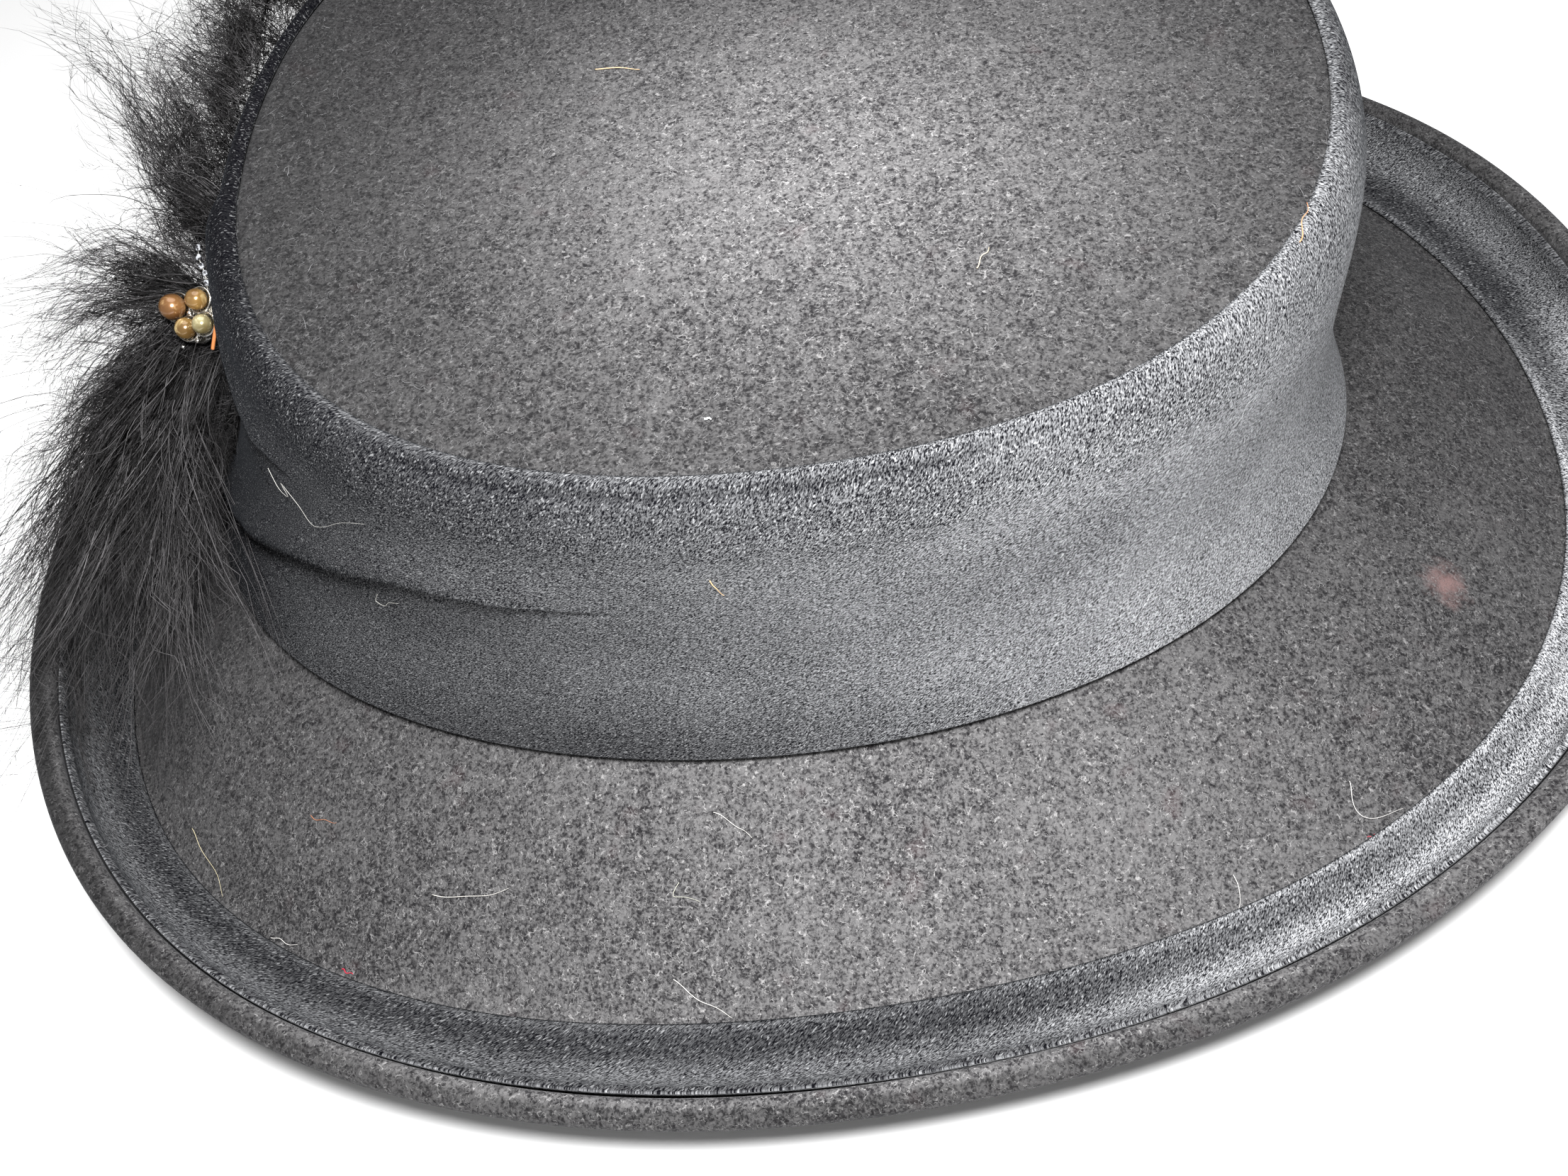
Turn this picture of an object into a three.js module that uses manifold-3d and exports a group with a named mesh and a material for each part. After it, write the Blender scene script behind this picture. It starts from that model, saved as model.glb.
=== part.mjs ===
// A felt hat with a flat crown and a curled brim, a velvet band round the crown, a velvet
// binding inside the brim's edge, and a marabou plume held by a small beaded brooch.
// Millimetres. +X is the wide way of the oval head opening, the plume is on the -X side,
// +Z is up, and z = 0 is the surface that the hat rests on.
import * as THREE from 'three';
import Module from 'manifold-3d';

const wasm = await Module();
wasm.setup();
const { Manifold, Mesh: ManifoldMesh } = wasm;

// ---- driving dimensions -------------------------------------------------------------

const segments = 60;            // steps round the oval
const restHeight = 22.0;        // the band's lower edge above the resting surface
const seatGap = 0.35;           // between one cloth layer and the next

const domeHeight = 1.5;         // the flat crown is this much higher in the middle
const cornerRound = { out: 0.6, up: 1.6 };         // the crown's edge is rounded out by this
const waistInset = 3.2;         // the crown's side is drawn in by this at its narrowest
const waistBow = 1.4;           // over 1 puts the narrowest place below the side's middle
const brimArch = 1.2;           // the brim's slope bows up by this
const curlDepth = 4.4;          // depth of the curl below the line from its foot to its edge

const bandThickness = 1.5;
const bindingThickness = 1.2;
const edgeRound = 1.3;          // the felt's cut edge is rounded out by this

// Level ovals of the felt's outer face. x and y are the centre, halfX and halfY the half
// widths, z the height from the band's lower edge, saddle how much the ends stand above
// the sides, tiltX and tiltY the rise towards +X and +Y, egg and square the shares by
// which the oval departs from an ellipse, wall the felt's thickness.
const ovals = {
  tip:      { x: 5.2, y: 1.0, halfX: 82.0, halfY: 82.2, z: 64.5, saddle: 0.0,
              tiltX: -4.7, tiltY: 4.4, egg: 0.010, square: -0.020, wall: 2.4 },
  shoulder: { x: 5.0, y: 1.0, halfX: 86.0, halfY: 86.2, z: 57.4, saddle: 0.0,
              tiltX: -4.7, tiltY: 4.4, egg: 0.010, square: -0.020, wall: 2.4 },
  base:     { x: -6.4, y: 0.0, halfX: 101.1, halfY: 80.2, z: -0.3, saddle: -3.1,
              tiltX: -1.8, tiltY: 0.0, egg: -0.010, square: 0.0, wall: 2.4 },
  curlFoot: { x: -2.7, y: -2.3, halfX: 134.0, halfY: 113.1, z: -16.9, saddle: -3.5,
              tiltX: 0.0, tiltY: 1.3, egg: 0.011, square: -0.016, wall: 2.8 },
  edge:     { x: -0.1, y: -0.6, halfX: 141.4, halfY: 130.2, z: -5.2, saddle: 1.7,
              tiltX: -2.6, tiltY: -1.8, egg: 0.011, square: -0.016, wall: 4.2 },
};

// How far the curl's deepest oval departs from the middle of curlFoot and edge, as shares
// of curlDepth.
const curlShares = { x: -0.08, halfX: 0.88, halfY: 0.52, z: -0.66, saddle: 0.23, tiltX: -0.17 };

const tipShares = [0.45, 0.82];                    // rings inside the crown's flat top
const sideShares = [0.22, 0.45, 0.66, 0.84, 1.0];  // rings from the shoulder to the base
const brimShares = [0.1, 0.4, 0.72, 1.0];          // rings from the base to the curl
const curlSteps = [0.12, 0.34, 0.58, 0.8, 1.0];     // rings from the curl's foot to the edge

// Folds gathered into the velvet band under the plume's knot. Angles are in degrees from
// +X, heights are shares of the band from its hem (0) to its lower edge (1), and bow bends
// a fold's line: under 1 it climbs quickly first.
const folds = [
  { from: 184, to: 256, startAt: 0.88, endAt: 0.32, bow: 0.8, width: 0.13, rise: 2.1 },
  { from: 192, to: 230, startAt: 0.18, endAt: 0.27, bow: 1.0, width: 0.10, rise: 1.5 },
  { from: 150, to: 186, startAt: 0.40, endAt: 0.62, bow: 1.0, width: 0.12, rise: 1.4 },
];

// The plume's knot is pinned to the band, and each lock runs from it over a high point to
// its end. Heights are from the band's lower edge, radius is the lock's at its middle.
const knot = new THREE.Vector3(-98.5, 5, 30.5);
const knotRadius = 8.5;
const knotStretch = { x: 0.8, y: 1.15, z: 1.15 };
const upperLocks = [
  { overX: -97, overY: 16, overZ: 52, endX: -115, endY: 30, endZ: 75, radius: 8.0 },
  { overX: -95, overY: 26, overZ: 56, endX: -121, endY: 46, endZ: 70, radius: 8.8 },
  { overX: -93, overY: 38, overZ: 58, endX: -117, endY: 66, endZ: 64, radius: 9.0 },
  { overX: -95, overY: 46, overZ: 48, endX: -103, endY: 84, endZ: 55, radius: 8.0 },
  { overX: -108, overY: 12, overZ: 48, endX: -127, endY: 14, endZ: 57, radius: 6.4 },
  { overX: -108, overY: 6, overZ: 43, endX: -128, endY: 1, endZ: 47, radius: 6.4 },
];
const lowerLocks = [
  { overX: -112, overY: 0, overZ: 32, endX: -134, endY: -9, endZ: 16, radius: 8.0 },
  { overX: -114, overY: -8, overZ: 30, endX: -139, endY: -30, endZ: 4, radius: 8.8 },
  { overX: -110, overY: -14, overZ: 28, endX: -132, endY: -47, endZ: 0, radius: 9.2 },
  { overX: -108, overY: -20, overZ: 24, endX: -116, endY: -60, endZ: 0, radius: 8.8 },
  { overX: -104, overY: -22, overZ: 20, endX: -101, endY: -58, endZ: 1, radius: 7.6 },
  { overX: -112, overY: 6, overZ: 27, endX: -134, endY: 8, endZ: 6, radius: 7.4 },
];
const lockSides = 6;
const lockRings = [0.06, 0.3, 0.55, 0.78, 0.94];
const lockShape = { root: 0.42, swell: 0.7, bow: 0.8, flat: 0.75 };
const plumeSplit = 0.4;         // clearance between the two plumes
const splitTurn = 38;           // degrees by which the plane between them is turned
const plumeClearance = 2.2;     // feathers keep this far off the felt and the binding

// The brooch lies on the knot and faces outwards and up. Each bead sits in a cup, and
// across and up are its place on the brooch's face.
const broochCentre = new THREE.Vector3(-99.3, 1.2, 34.9);
const broochFacing = new THREE.Vector3(-0.38, -0.62, 0.69).normalize();
const beads = [
  { across: -4.0, up: 0.4, radius: 2.3 },
  { across: 1.1, up: 2.9, radius: 1.9 },
  { across: -0.35, up: -2.5, radius: 1.9 },
  { across: 3.3, up: -0.9, radius: 1.75 },
];
const beadSteps = { round: 12, high: 8 };
const cupWall = 0.45;
const cupDepth = 1.7;
const cupSides = 12;
const plateThickness = 1.0;
const plateRadius = 5.6;
const plateSides = 18;
const seatRadius = 7.4;         // hollow in the plume over the plate
const seatDepth = 24;
const seatSides = 12;

// Small glittering stones on a wire beside the brooch, each turned by turnX and turnY from
// the one before. seat is the radius of the hollow in the plume over them.
const sparkles = { count: 4, radius: 0.8, wire: 0.3, seat: 1.7, turnX: 0.7, turnY: 0.4 };
const wireSteps = { along: 6, round: 2 };
const sparkleRoute = [
  new THREE.Vector3(-97.2, 9.1, 42.8),
  new THREE.Vector3(-96.7, 7.2, 41.1),
  new THREE.Vector3(-95.6, 5.6, 39.6),
];

// ---- materials ----------------------------------------------------------------------

function finish(color, roughness, metalness = 0) {
  return new THREE.MeshStandardMaterial({ color, roughness, metalness });
}
const felt = finish(0x4b4b50, 0.95);
const velvet = finish(0x3a4048, 0.8);
const plumage = finish(0x17161a, 0.9);
const silver = finish(0xc9cacb, 0.25, 1);
const bronzeGlass = finish(0x9a5a22, 0.18, 0.3);

// ---- the felt's outer face, as rings of points --------------------------------------

function blend(from, to, share) {
  const mixed = {};
  for (const key of Object.keys(from)) mixed[key] = from[key] + (to[key] - from[key]) * share;
  return mixed;
}

function tipOval(share) {
  const oval = blend({ ...ovals.tip, halfX: 0, halfY: 0, tiltX: 0, tiltY: 0 }, ovals.tip, share);
  oval.z += domeHeight * (1 - share ** 2);
  return oval;
}

function sideOval(share) {
  const oval = blend(ovals.shoulder, ovals.base, share);
  const inset = waistInset * Math.sin(Math.PI * share ** waistBow);
  oval.halfX -= inset;
  oval.halfY -= inset;
  return oval;
}

function brimOval(share) {
  const oval = blend(ovals.base, ovals.curlFoot, share);
  oval.z += brimArch * Math.sin(Math.PI * share);
  return oval;
}

function curlOval(share) {
  const oval = blend(ovals.curlFoot, ovals.edge, share);
  const depth = curlDepth * 4 * share * (1 - share);
  for (const [key, part] of Object.entries(curlShares)) oval[key] += part * depth;
  return oval;
}

const roundedShoulder = blend(ovals.tip, ovals.shoulder, 0.5);
roundedShoulder.halfX += cornerRound.out;
roundedShoulder.halfY += cornerRound.out;
roundedShoulder.z += cornerRound.up;

const tipOvals = tipShares.map(tipOval);
const crownOvals = [ovals.tip, roundedShoulder, ovals.shoulder, ...sideShares.map(sideOval)];
const brimOvals = brimShares.map(brimOval);
const curlOvals = curlSteps.map(curlOval);
const faceOvals = [...tipOvals, ...crownOvals, ...brimOvals, ...curlOvals];
const bandStart = tipOvals.length;
const bandEnd = bandStart + crownOvals.length;
const bindingStart = faceOvals.length - curlOvals.length - 1;

function ovalPoint(oval, angle) {
  const reach = 1 + oval.egg * Math.cos(3 * angle) + oval.square * Math.cos(4 * angle);
  return new THREE.Vector3(
    oval.x + oval.halfX * reach * Math.cos(angle),
    oval.y + oval.halfY * reach * Math.sin(angle),
    restHeight + oval.z + oval.saddle * Math.cos(2 * angle)
      + oval.tiltX * Math.cos(angle) + oval.tiltY * Math.sin(angle),
  );
}

function ring(pointAt) {
  return Array.from({ length: segments }, (_, step) => pointAt(step, (2 * Math.PI * step) / segments));
}

const face = faceOvals.map((oval) => ring((_, angle) => ovalPoint(oval, angle)));

// The outward direction at each point, from its neighbours along and across the rings.
const outward = face.map((points, row) => points.map((point, step) => {
  const before = face[Math.max(row - 1, 0)][step];
  const after = face[Math.min(row + 1, face.length - 1)][step];
  const next = points[(step + 1) % segments];
  const last = points[(step + segments - 1) % segments];
  const down = new THREE.Vector3().subVectors(after, before);
  const round = new THREE.Vector3().subVectors(next, last);
  return down.cross(round).normalize();
}));

function offsetRing(row, distanceAt) {
  return face[row].map((point, step) => {
    return point.clone().addScaledVector(outward[row][step], distanceAt(step));
  });
}

// ---- solids from rings --------------------------------------------------------------

// Joins rings of points in turn. A pole closes an end, and a loop joins the last ring to
// the first. From the ring mirrorFrom on, the rings run back under the first ones, and
// their faces are split along the same diagonals, so that a layer stays parallel.
function ringSolid(rings, { startPole, endPole, loop, mirrorFrom = Infinity } = {}) {
  const points = rings.flat();
  const size = rings[0].length;
  const triangles = [];
  const joins = loop ? rings.length : rings.length - 1;
  for (let row = 0; row < joins; row++) {
    const here = row * size;
    const there = ((row + 1) % rings.length) * size;
    for (let step = 0; step < size; step++) {
      const next = (step + 1) % size;
      if (row < mirrorFrom) {
        triangles.push(here + step, there + step, there + next);
        triangles.push(here + step, there + next, here + next);
      } else {
        triangles.push(here + step, there + step, here + next);
        triangles.push(there + step, there + next, here + next);
      }
    }
  }
  for (const [pole, row] of [[startPole, 0], [endPole, rings.length - 1]]) {
    if (!pole) continue;
    const tipIndex = points.push(pole) - 1;
    for (let step = 0; step < size; step++) {
      const a = row * size + step;
      const b = row * size + ((step + 1) % size);
      triangles.push(...(row === 0 ? [tipIndex, a, b] : [tipIndex, b, a]));
    }
  }
  const geometry = new THREE.BufferGeometry().setFromPoints(points);
  geometry.setIndex(triangles);
  geometry.computeVertexNormals();
  return geometry;
}

// manifold-3d's solid from a closed indexed mesh, and back.
function toManifold(geometry) {
  const vertProperties = new Float32Array(geometry.attributes.position.array);
  const triVerts = new Uint32Array(geometry.index.array);
  return new Manifold(new ManifoldMesh({ numProp: 3, vertProperties, triVerts }));
}

function toGeometry(solid) {
  const mesh = solid.getMesh();
  const geometry = new THREE.BufferGeometry();
  geometry.setAttribute('position', new THREE.BufferAttribute(mesh.vertProperties, 3));
  geometry.setIndex(new THREE.BufferAttribute(mesh.triVerts, 1));
  geometry.computeVertexNormals();
  return geometry;
}

function named(name, geometry, material) {
  const mesh = new THREE.Mesh(geometry, material);
  mesh.name = name;
  return mesh;
}

// ---- felt hood: crown and brim, one hollow wall -------------------------------------

function feltHood() {
  const under = face.map((_, row) => {
    const wall = faceOvals[row].wall;
    const points = offsetRing(row, () => -wall);
    for (const point of points) point.z = Math.max(point.z, 0);   // felt flattened where it rests
    return points;
  });
  const last = face.length - 1;
  const cutEdge = face[last].map((point, step) => {
    const along = new THREE.Vector3().subVectors(point, face[last - 1][step]).normalize();
    return point.clone().add(under[last][step]).multiplyScalar(0.5).addScaledVector(along, edgeRound);
  });
  const top = new THREE.Vector3(ovals.tip.x, ovals.tip.y, restHeight + ovals.tip.z + domeHeight);
  const inside = top.clone();
  inside.z -= ovals.tip.wall;
  const rings = [...face, cutEdge, ...under.reverse()];
  const options = { startPole: top, endPole: inside, mirrorFrom: face.length + 1 };
  return named('felt_hood', ringSolid(rings, options), felt);
}

// ---- velvet band round the crown, with its folds ------------------------------------

// How high the folds stand at a share of the band's height. Each swells quickly from its
// start at the knot and fades towards its far end.
function foldRise(share, angle) {
  const degrees = THREE.MathUtils.radToDeg(angle);
  let rise = 0;
  for (const fold of folds) {
    const along = (degrees - fold.from) / (fold.to - fold.from);
    if (along <= 0 || along >= 1) continue;
    const middle = THREE.MathUtils.lerp(fold.startAt, fold.endAt, along ** fold.bow);
    const fade = Math.sin(Math.PI * Math.min(0.5, along * 2)) * (1 - along ** 3);
    rise += fold.rise * fade * Math.exp(-(((share - middle) / fold.width) ** 2));
  }
  return rise;
}

function bandOuter(row, step) {
  const share = (ovals.tip.z - faceOvals[row].z) / (ovals.tip.z - ovals.base.z);
  return seatGap + bandThickness + foldRise(share, (2 * Math.PI * step) / segments);
}

function hatBand() {
  const outer = [];
  const inner = [];
  for (let row = bandStart; row < bandEnd; row++) {
    outer.push(offsetRing(row, (step) => bandOuter(row, step)));
    inner.unshift(offsetRing(row, () => seatGap));
  }
  const options = { loop: true, mirrorFrom: outer.length };
  return named('hat_band', ringSolid([...outer, ...inner], options), velvet);
}

// ---- velvet binding on the inner side of the curled edge ----------------------------

function brimBinding() {
  const outer = [];
  const inner = [];
  for (let row = bindingStart; row < face.length; row++) {
    outer.push(offsetRing(row, () => seatGap + bindingThickness));
    inner.unshift(offsetRing(row, () => seatGap));
  }
  const options = { loop: true, mirrorFrom: outer.length };
  return named('brim_binding', ringSolid([...outer, ...inner], options), velvet);
}

// ---- marabou plume ------------------------------------------------------------------

// Everything inside the hat's outer face, with room for the band and the binding, down to
// well under the resting surface.
function hatEnvelope() {
  const rings = face.map((_, row) => {
    const isBand = row >= bandStart && row < bandEnd;
    const reach = isBand ? (step) => bandOuter(row, step) + seatGap : () => plumeClearance;
    return offsetRing(row, reach);
  });
  const last = face.length - 1;
  const outside = offsetRing(last, () => -faceOvals[last].wall - plumeClearance);
  const overEdge = outside.map((point, step) => {
    const along = new THREE.Vector3().subVectors(face[last][step], face[last - 1][step]).normalize();
    return point.clone().add(rings[last][step]).multiplyScalar(0.5)
      .addScaledVector(along, edgeRound + plumeClearance);
  });
  const skirt = outside.map((point) => new THREE.Vector3(point.x, point.y, -restHeight));
  const roof = restHeight + ovals.tip.z + domeHeight + plumeClearance;
  const startPole = new THREE.Vector3(ovals.tip.x, ovals.tip.y, roof);
  const endPole = new THREE.Vector3(ovals.tip.x, ovals.tip.y, -restHeight);
  return toManifold(ringSolid([...rings, overEdge, outside, skirt], { startPole, endPole }));
}

// A lock starts inside the knot, swells, and tapers to its end along a bent line. Its
// section is an oval, wider than it is high.
function lockSolid(lock) {
  const start = knot.clone().setZ(knot.z + restHeight);
  const over = new THREE.Vector3(lock.overX, lock.overY, lock.overZ + restHeight);
  const end = new THREE.Vector3(lock.endX, lock.endY, lock.endZ + restHeight);
  const route = new THREE.QuadraticBezierCurve3(start, over, end);
  const up = new THREE.Vector3(0, 0, 1);
  const rings = lockRings.map((share) => {
    const centre = route.getPoint(share);
    const ahead = route.getTangent(share);
    const side = new THREE.Vector3().crossVectors(ahead, up).normalize();
    const rise = new THREE.Vector3().crossVectors(side, ahead);
    const swell = lockShape.root + lockShape.swell * Math.sin(Math.PI * share ** lockShape.bow);
    const radius = lock.radius * swell * (1 - share ** 4);
    return Array.from({ length: lockSides }, (_, step) => {
      const angle = (2 * Math.PI * step) / lockSides;
      return centre.clone()
        .addScaledVector(side, radius * Math.cos(angle))
        .addScaledVector(rise, lockShape.flat * radius * Math.sin(angle));
    });
  });
  return toManifold(ringSolid(rings, { startPole: start, endPole: end }));
}

function knotSolid() {
  const ball = new THREE.IcosahedronGeometry(knotRadius, 1);
  ball.scale(knotStretch.x, knotStretch.y, knotStretch.z);
  ball.translate(knot.x, knot.y, knot.z + restHeight);
  return toManifold(mergedOf(ball));
}

// The same mesh with shared corners and no collapsed faces. Corners are matched after
// rounding to a ten thousandth of a millimetre.
function mergedOf(geometry) {
  const matching = 1e4;
  const seen = new Map();
  const points = [];
  const triangles = [];
  const flat = geometry.index ? geometry.toNonIndexed() : geometry;
  const position = flat.attributes.position;
  for (let i = 0; i < position.count; i++) {
    const point = new THREE.Vector3().fromBufferAttribute(position, i);
    const key = point.toArray().map((value) => Math.round(value * matching)).join();
    if (!seen.has(key)) seen.set(key, points.push(point) - 1);
    triangles.push(seen.get(key));
  }
  const kept = [];
  for (let i = 0; i < triangles.length; i += 3) {
    const [a, b, c] = triangles.slice(i, i + 3);
    if (a !== b && b !== c && c !== a) kept.push(a, b, c);
  }
  const merged = new THREE.BufferGeometry().setFromPoints(points);
  merged.setIndex(kept);
  return merged;
}

// One side of a slanted plane through the knot, so that the two plumes stay apart.
function halfSpace(side) {
  const size = 3 * ovals.edge.halfX;       // wide enough to hold the whole hat
  const block = new THREE.BoxGeometry(size, size, size);
  block.translate(0, side * (size / 2 + plumeSplit / 2), 0);
  block.rotateX(THREE.MathUtils.degToRad(splitTurn));
  block.translate(knot.x, knot.y, knot.z + restHeight);
  return toManifold(mergedOf(block));
}

// A round hollow in the feathers that opens the way the brooch faces. Its floor lies under
// place by sink.
function seatHollow(place, radius, sink) {
  const seat = new THREE.CylinderGeometry(radius, radius, seatDepth, seatSides);
  seat.rotateX(Math.PI / 2);
  seat.translate(0, 0, seatDepth / 2 - sink);
  seat.applyMatrix4(broochTurn);
  seat.translate(place.x, place.y, place.z + restHeight);
  return toManifold(mergedOf(seat));
}

function jewelSeats() {
  const route = new THREE.CatmullRomCurve3(sparkleRoute);
  let seats = seatHollow(broochCentre, seatRadius, seatGap);
  for (const place of route.getPoints(sparkles.count)) {
    seats = seats.add(seatHollow(place, sparkles.seat, sparkles.radius + seatGap));
  }
  return seats;
}

function plume(name, locks, side, envelope) {
  let solid = knotSolid();
  for (const lock of locks) solid = solid.add(lockSolid(lock));
  solid = solid.intersect(halfSpace(side)).subtract(envelope).subtract(jewelSeats());
  return named(name, toGeometry(solid), plumage);
}

// ---- beaded brooch ------------------------------------------------------------------

const broochTurn = (() => {
  const across = new THREE.Vector3(0, 0, 1).cross(broochFacing).normalize();
  const up = new THREE.Vector3().crossVectors(broochFacing, across);
  return new THREE.Matrix4().makeBasis(across, up, broochFacing);
})();

function onBrooch(geometry, across, up, out) {
  geometry.translate(across, up, out);
  geometry.applyMatrix4(broochTurn);
  geometry.translate(broochCentre.x, broochCentre.y, broochCentre.z + restHeight);
  return geometry;
}

function beadSolid(bead) {
  const ball = new THREE.SphereGeometry(bead.radius, beadSteps.round, beadSteps.high);
  return onBrooch(ball, bead.across, bead.up, plateThickness + seatGap + bead.radius);
}

// A round block of the brooch, from one height over its back to another.
function broochRound(radius, from, to, sides, place) {
  const round = new THREE.CylinderGeometry(radius, radius, to - from, sides);
  round.rotateX(Math.PI / 2);
  return toManifold(mergedOf(onBrooch(round, place.across, place.up, (from + to) / 2)));
}

function broochSetting() {
  const rim = plateThickness + cupDepth;
  let solid = broochRound(plateRadius, 0, plateThickness, plateSides, { across: 0, up: 0 });
  for (const bead of beads) {
    solid = solid.add(broochRound(bead.radius + seatGap + cupWall, 0, rim, cupSides, bead));
  }
  for (const bead of beads) {
    const room = broochRound(bead.radius + seatGap, plateThickness, rim + cupDepth, cupSides, bead);
    solid = solid.subtract(room);
  }
  return solid;
}

function sparkleStrand() {
  const lifted = sparkleRoute.map((point) => point.clone().setZ(point.z + restHeight));
  const route = new THREE.CatmullRomCurve3(lifted);
  const shape = new THREE.Shape().absarc(0, 0, sparkles.wire, 0, 2 * Math.PI);
  const { along: steps, round: curveSegments } = wireSteps;
  const wire = new THREE.ExtrudeGeometry(shape, { steps, curveSegments, extrudePath: route });
  let solid = toManifold(mergedOf(wire));
  for (let i = 0; i < sparkles.count; i++) {
    const stone = new THREE.OctahedronGeometry(sparkles.radius, 0);
    const place = route.getPointAt(i / (sparkles.count - 1));
    stone.rotateX(i * sparkles.turnX).rotateY(i * sparkles.turnY);
    stone.translate(place.x, place.y, place.z);
    solid = solid.add(toManifold(mergedOf(stone)));
  }
  return solid;
}

// ---- the hat ------------------------------------------------------------------------

const hat = new THREE.Group();
const envelope = hatEnvelope();
hat.add(feltHood(), hatBand(), brimBinding());
hat.add(plume('plume_upper', upperLocks, 1, envelope));
hat.add(plume('plume_lower', lowerLocks, -1, envelope));
hat.add(named('brooch_setting', toGeometry(broochSetting()), silver));
hat.add(named('sparkle_strand', toGeometry(sparkleStrand()), silver));
beads.forEach((bead, index) => {
  hat.add(named(`bead_${index + 1}`, mergedOf(beadSolid(bead)), bronzeGlass));
});

// The origin lies under the middle of the hat and everything on it.
const extent = new THREE.Box3().setFromObject(hat);
const middle = extent.getCenter(new THREE.Vector3());
hat.position.set(-middle.x, -middle.y, 0);

export default hat;
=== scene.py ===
import bpy
import numpy as np
from mathutils import Matrix, Vector


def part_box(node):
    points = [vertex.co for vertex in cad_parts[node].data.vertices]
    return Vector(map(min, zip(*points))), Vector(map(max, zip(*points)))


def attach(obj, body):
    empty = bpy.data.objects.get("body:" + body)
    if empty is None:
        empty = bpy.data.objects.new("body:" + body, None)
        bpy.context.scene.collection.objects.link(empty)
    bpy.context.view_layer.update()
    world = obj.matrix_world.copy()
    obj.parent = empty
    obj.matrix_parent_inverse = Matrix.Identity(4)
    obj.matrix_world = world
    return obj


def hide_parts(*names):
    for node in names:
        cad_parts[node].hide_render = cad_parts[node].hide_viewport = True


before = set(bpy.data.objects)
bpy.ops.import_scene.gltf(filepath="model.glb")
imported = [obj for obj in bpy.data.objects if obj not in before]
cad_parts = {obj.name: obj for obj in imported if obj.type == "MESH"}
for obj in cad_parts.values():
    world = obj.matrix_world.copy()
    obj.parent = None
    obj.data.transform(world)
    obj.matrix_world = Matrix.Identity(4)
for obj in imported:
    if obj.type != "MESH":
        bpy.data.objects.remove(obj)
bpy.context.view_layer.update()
mm = 0.001
dice = np.random.default_rng(11)


def smooth(value, low, high):
    # 3t^2 - 2t^3 with t running from 0 at low to 1 at high
    t = np.clip((value - low) / (high - low), 0, 1)
    return t * t * (3 - 2 * t)


def bell(value, middle, width):
    # exp(-((value - middle) / width)^2)
    return np.exp(-((value - middle) / width) ** 2)


def partway(pair, share):
    # first + (last - first) share
    return pair[0] + (pair[1] - pair[0]) * share


def stepped(value, start, steps):
    # start plus each step's height by, reached smoothly between low and high
    for step in steps:
        start = start + step["by"] * smooth(value, step["low"], step["high"])
    return start


def curveThrough(stops, count):
    # Catmull-Rom: a smooth line through the stops, each stretch a cubic of its four nearest stops
    stops = np.asarray(stops, float)
    padded = np.concatenate([2 * stops[:1] - stops[1:2], stops, 2 * stops[-1:] - stops[-2:-1]])
    at = np.linspace(0, len(stops) - 1, count)
    first = np.minimum(np.floor(at).astype(int), len(stops) - 2)
    t = (at - first)[:, None]
    a, b, c, d = (padded[first + i] for i in range(4))
    return b + 0.5 * t * (c - a + t * (2 * a - 5 * b + 4 * c - d + t * (3 * (b - c) + d - a)))


def unit(vectors):
    # each vector divided by its length
    return vectors / np.maximum(np.linalg.norm(vectors, axis=-1, keepdims=True), 1e-12)


# The felt's outer face is a function of the distance down its profile and the angle round the oval.
hat = {
    "restHeight": 22.0,    # the band's lower edge above the resting surface
    "dome": 1.5,           # the flat crown is this much higher in the middle
    "waist": 3.2,          # the crown's side is drawn in by this at its narrowest
    "waistBow": 1.4,       # over 1 puts the narrowest place below the side's middle
    "brimArch": 1.2,       # the brim's slope bows up by this
    "curlDepth": 4.4,      # the curl's depth under the line from its foot to its edge
    "rounding": 0.6,       # the shoulder stands out by this
    "shoulderLift": 1.6,   # and up by this
    "softening": 1.6,      # the felt's bends are rounded over this length
    "edgeRound": 1.3,      # the cut edge is rounded out by this
    "seatGap": 0.35,       # between one cloth layer and the next
    "zonePoints": 80,      # points along each zone of the profile
    "spacing": 0.25,       # between the rows of the finished profile
}
ovalKeys = ["x", "y", "halfX", "halfY", "z", "saddle", "tiltX", "tiltY", "egg", "square", "wall"]
ovals = {
    "tip": dict(x=5.2, y=1.0, halfX=82.0, halfY=82.2, z=64.5, saddle=0.0,
                tiltX=-4.7, tiltY=4.4, egg=0.010, square=-0.020, wall=2.4),
    "shoulder": dict(x=5.0, y=1.0, halfX=86.0, halfY=86.2, z=57.4, saddle=0.0,
                     tiltX=-4.7, tiltY=4.4, egg=0.010, square=-0.020, wall=2.4),
    "base": dict(x=-6.4, y=0.0, halfX=101.1, halfY=80.2, z=-0.3, saddle=-3.1,
                 tiltX=-1.8, tiltY=0.0, egg=-0.010, square=0.0, wall=2.4),
    "curlFoot": dict(x=-2.7, y=-2.3, halfX=134.0, halfY=113.1, z=-16.9, saddle=-3.5,
                     tiltX=0.0, tiltY=1.3, egg=0.011, square=-0.016, wall=2.8),
    "edge": dict(x=-0.1, y=-0.6, halfX=141.4, halfY=130.2, z=-5.2, saddle=1.7,
                 tiltX=-2.6, tiltY=-1.8, egg=0.011, square=-0.016, wall=4.2),
}
curlShares = dict(x=-0.08, halfX=0.88, halfY=0.52, z=-0.66, saddle=0.23, tiltX=-0.17)


def ovalRow(name, **changes):
    return np.array([{**ovals[name], **changes}[key] for key in ovalKeys])


def shareRow(**shares):
    return np.array([shares.get(key, 0.0) for key in ovalKeys])


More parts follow.
